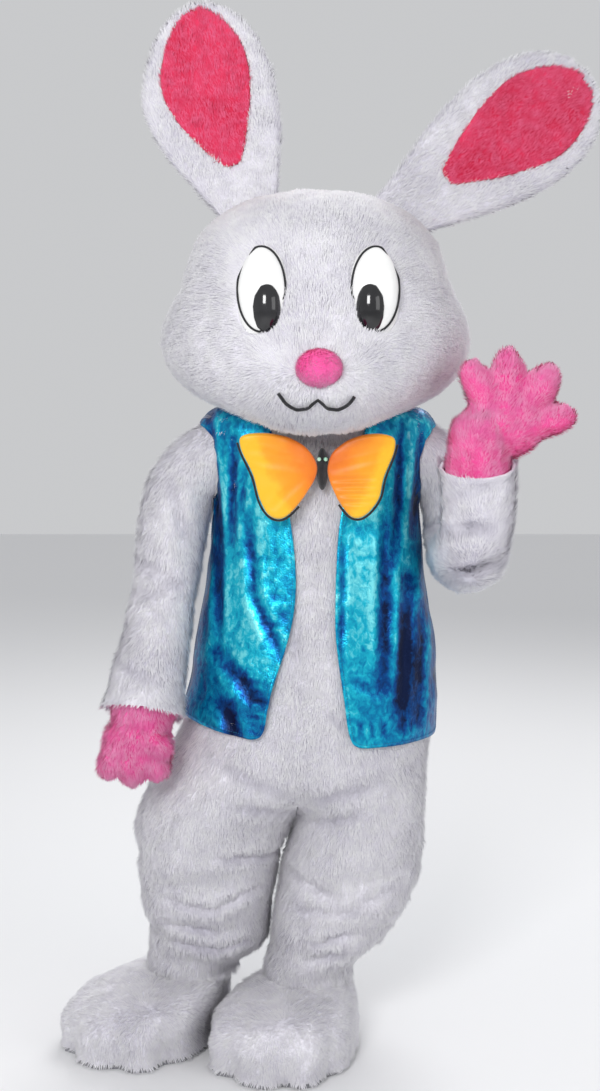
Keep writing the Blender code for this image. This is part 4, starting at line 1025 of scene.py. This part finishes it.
def outlines(mesh):
    """The closed edge lines of a skin, as lists of vertex numbers."""
    bm = bmesh.new()
    bm.from_mesh(mesh)
    links = {}
    for edge in bm.edges:
        if len(edge.link_faces) == 1:
            a, b = (v.index for v in edge.verts)
            links.setdefault(a, []).append(b)
            links.setdefault(b, []).append(a)
    bm.free()
    loops, used = [], set()
    for start in sorted(links):
        if start in used:
            continue
        loop, at, before = [start], links[start][0], start
        used.add(start)
        while at not in used:
            loop.append(at)
            used.add(at)
            ways = [n for n in links[at] if n != before]
            before, at = at, (ways[0] if ways else start)
        loops.append(loop)
    return loops


def add_piece(name, mesh, finish):
    """A part that is sewn on, in its finish."""
    made = add_object(name, mesh)
    made.data.materials.append(finish)
    made.data.shade_smooth()
    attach(made, "root")
    return made


def add_stitches(name, piece, inset, finish):
    """Rods of thread a little inside a skin's edges, as one mesh."""
    mesh = piece.data
    surface = BVHTree.FromPolygons([v.co for v in mesh.vertices],
                                   [tuple(f.vertices) for f in mesh.polygons])
    bm = bmesh.new()
    for loop in outlines(mesh):
        line = [mesh.vertices[i].co for i in loop]
        travelled = 0.0
        for a, b in zip(line, line[1:] + line[:1]):
            span = (b - a).length
            while travelled < span:
                place = a.lerp(b, travelled / max(span, 1e-9))
                along = (b - a).normalized()
                normal = surface.find_nearest(place)[1]
                inward = normal.cross(along).normalized()
                off_skin = surface.find_nearest(place + inward * inset)[3]
                if off_skin > inset / 2:
                    inward = -inward
                foot, normal, _, _ = surface.find_nearest(place + inward * inset)
                put_rod(bm, foot + normal * STITCH_THICK * ROD_PROUD, along, normal)
                travelled += STITCH_GAP
            travelled -= span
    made = add_piece(name, mesh_from(name, bm), finish)
    print(name, "has", len(made.data.vertices) // ROD_POINTS, "stitches")
    return made


def put_rod(bm, place, along, normal):
    """One stitch: a short rod with four sides and drawn-in ends."""
    across = along.cross(normal).normalized()
    rings = []
    for share, thick in ROD_RINGS:
        spot = place + along * STITCH_LONG * share
        if thick:
            rings.append([bm.verts.new(spot + (across * x + normal * y) * STITCH_THICK)
                          for x, y in ((1, 0), (0, 1), (-1, 0), (0, -1))])
        else:
            rings.append([bm.verts.new(spot)])
    for k in range(4):
        j = (k + 1) % 4
        bm.faces.new((rings[0][0], rings[1][j], rings[1][k]))
        bm.faces.new((rings[1][k], rings[1][j], rings[2][j], rings[2][k]))
        bm.faces.new((rings[2][k], rings[2][j], rings[3][0]))


for node in VEST_NODES:
    stitches = add_stitches(node + "_stitches", dressed[node], VEST_INSET, FOIL_THREAD)
    thicken(dressed[node], VEST_WALL)

# %% [markdown]
# ## The butterfly bow
# The bow is sewn as a butterfly: two padded satin wings, deep orange at the top and in the
# middle and yellow towards the outer edges, a black edging and a dark felt body. The right wing
# is pleated across its lower half.

# %% Bow
BOW_MIDDLE = (0.008, 0.0, -0.07)


def satin_finish():
    """Satin that goes from orange at the middle and top to yellow at the outer edges."""
    made, shader, tree = new_finish("orange_yellow_satin", 0.42, sheen=0.4, gloss=0.45)
    place = tree.nodes.new("ShaderNodeTexCoord")
    parts = tree.nodes.new("ShaderNodeSeparateXYZ")
    tree.links.new(place.outputs["Object"], parts.inputs["Vector"])

    def sum_of(kind, first, second):
        step = tree.nodes.new("ShaderNodeMath")
        step.operation = kind
        for socket, value in zip(step.inputs, (first, second)):
            if isinstance(value, float):
                socket.default_value = value
            else:
                tree.links.new(value, socket)
        return step.outputs[0]

    away = sum_of("ABSOLUTE", sum_of("SUBTRACT", parts.outputs["X"], BOW_MIDDLE[0]), 0.0)
    out = sum_of("MULTIPLY", away, 5.6)
    down = sum_of("MULTIPLY", sum_of("SUBTRACT", 0.0, parts.outputs["Z"]), 2.6)
    worn = sum_of("MULTIPLY", cloud(tree, 26.0, 3.0), 0.35)
    share = sum_of("ADD", sum_of("ADD", out, down), worn)
    tone = ramp(tree, share, ((0.30, (0.70, 0.10, 0.002)), (0.60, (0.88, 0.23, 0.003)),
                              (0.88, (0.90, 0.36, 0.004)), (1.0, (0.90, 0.50, 0.01))))
    tree.links.new(tone, shader.inputs["Base Color"])
    bumped(tree, shader, [cloud(tree, 900.0, 2.0, (1, 1, 0.2))], 0.25, 0.0006)
    return made


SATIN = satin_finish()
WING_PLEATS = {
    "left": (
        (-0.03, -0.075, -0.12, -0.055, 0.0016, 0.009),
        (-0.03, -0.090, -0.09, -0.150, 0.0018, 0.009),
        (-0.05, -0.060, -0.13, -0.035, 0.0014, 0.009),
    ),
    "right": (
        (0.030, -0.096, 0.110, -0.092, 0.0032, 0.0055),
        (0.034, -0.110, 0.110, -0.108, 0.0034, 0.0055),
        (0.040, -0.125, 0.108, -0.124, 0.0034, 0.0055),
        (0.046, -0.140, 0.104, -0.140, 0.0030, 0.0055),
        (0.03, -0.075, 0.12, -0.052, 0.0018, 0.008),
    ),
}
for side, pleats in WING_PLEATS.items():
    node = "bow_wing_" + side
    piece = smooth_piece(node, SATIN, 3, False,
                         lambda points, normals, rows=pleats: lumps(points, 0.03, 0.0012, 4)
                         - crease_depth(points, normals, {"front": rows}))
    smooth_piece("bow_edge_" + side, BLACK_FELT, 1, False)
piece = smooth_piece("bow_body", BLACK_FELT, 2, False)
print("bow with", sum(len(rows) for rows in WING_PLEATS.values()), "pleats")

# %% [markdown]
# ## Beads
# Two green glass beads near the top of the bow's body are the butterfly's eyes. A plain ball sunk
# a little into the felt is enough, because a bead's hole and thread don't show.

# %% Two beads
BEAD_RADIUS = 0.0042
BEAD_ASIDE = 0.0065
BEAD_SUNK = 0.004
BEAD_DOWN = 0.022


def add_bead(name, place, radius):
    """A glass bead sewn on."""
    bm = bmesh.new()
    bmesh.ops.create_uvsphere(bm, u_segments=20, v_segments=12, radius=radius)
    bmesh.ops.translate(bm, verts=bm.verts, vec=place)
    add_piece(name, mesh_from(name, bm), BEAD_GLASS)


body_low, body_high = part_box("bow_body")
for side, across in (("left", -BEAD_ASIDE), ("right", BEAD_ASIDE)):
    spot = Vector((BOW_MIDDLE[0] + across, body_low.y + BEAD_SUNK, body_high.z - BEAD_DOWN))
    add_bead("bow_bead_" + side, spot, BEAD_RADIUS)
print("two beads at height", round(spot.z, 3))

# %% [markdown]
# ## The face
# The eyes are smooth moulded shells, white with a black pupil, and a thin felt cord lies round
# each white. The mouth is a cord sewn on in one line. All of it is kept plain and calm.

# %% Eyes and mouth
RIM_SHARE = 0.95
RIM_THICK = 0.0022
RIM_PROUD = 0.001
RIM_POINTS = 40


def add_eye_rim(name, node):
    """A thin black cord that follows the edge of an eye's white."""
    low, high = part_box(node)
    middle = (low + high) / 2
    half = (high - low) / 2
    mesh = nodes[node].data
    eye = BVHTree.FromPolygons([v.co for v in mesh.vertices],
                               [tuple(f.vertices) for f in mesh.polygons])
    line = bpy.data.curves.new(name, "CURVE")
    line.dimensions = "3D"
    line.bevel_depth = RIM_THICK
    line.bevel_resolution = 2
    path = line.splines.new("NURBS")
    spots = []
    for k in range(RIM_POINTS):
        turn = 2 * math.pi * k / RIM_POINTS
        across = middle.x + half.x * RIM_SHARE * math.cos(turn)
        up = middle.z + half.z * RIM_SHARE * math.sin(turn)
        spot = eye.ray_cast(Vector((across, -1, up)), Vector((0, 1, 0)))[0]
        if spot:
            spots.append(spot - Vector((0, RIM_PROUD, 0)))
    path.points.add(len(spots) - 1)
    for point, spot in zip(path.points, spots):
        point.co = (*spot, 1.0)
    path.use_cyclic_u = True
    path.order_u = 3
    cord = add_object(name, line)
    mesh = bpy.data.meshes.new_from_object(cord)
    bpy.data.objects.remove(cord)
    add_piece(name, mesh, BLACK_FELT)
    print(name, "follows", len(spots), "points")


for side in ("left", "right"):
    for node, finish, slot in (("eye_white_" + side, EYE_WHITE, "eye_white"),
                               ("pupil_" + side, EYE_BLACK, "eye_black")):
        smooth_piece(node, finish, 2, False)
    add_eye_rim("eye_rim_" + side, "eye_white_" + side)
smooth_piece("mouth", BLACK_FELT, 1, False)

# %% [markdown]
# ## Back closing
# The suit closes at the back under a strip of woven tape, stitched down along both sides as the
# waistcoat's edges are, but nearer to its edge.

# %% Tape over the back closing
TAPE_INSET = 0.0035
TAPE_WALL = 0.0015
piece = smooth_piece("back_placket", WEBBING, 2, True)
stitches = add_stitches("back_placket_stitches", piece, TAPE_INSET, WEBBING)
thicken(piece, TAPE_WALL)
dressed["back_placket"] = piece

# %% [markdown]
# ## What each cloth was cut to
# A sheet of cloth keeps its area however it is draped. Each piece states the rectangle that it
# was cut from and the area of the cut, measured on the skin that shows. Its longest way across
# is taken as the length, and the width follows from a cut that fills most of the rectangle.

# %% State the cuts
HELD = {"suit": "hung", "sleeve": "hung", "vest": "hung", "ear": "stretched", "foot": "stretched",
        "glove": "stretched", "back": "laid"}


sheets = [name for name in dressed if name.split("_")[0] in HELD and name not in
          ("ear_left", "ear_right")]
for name in sheets:
    kind, side = name.split("_")[0], name.split("_")[-1]
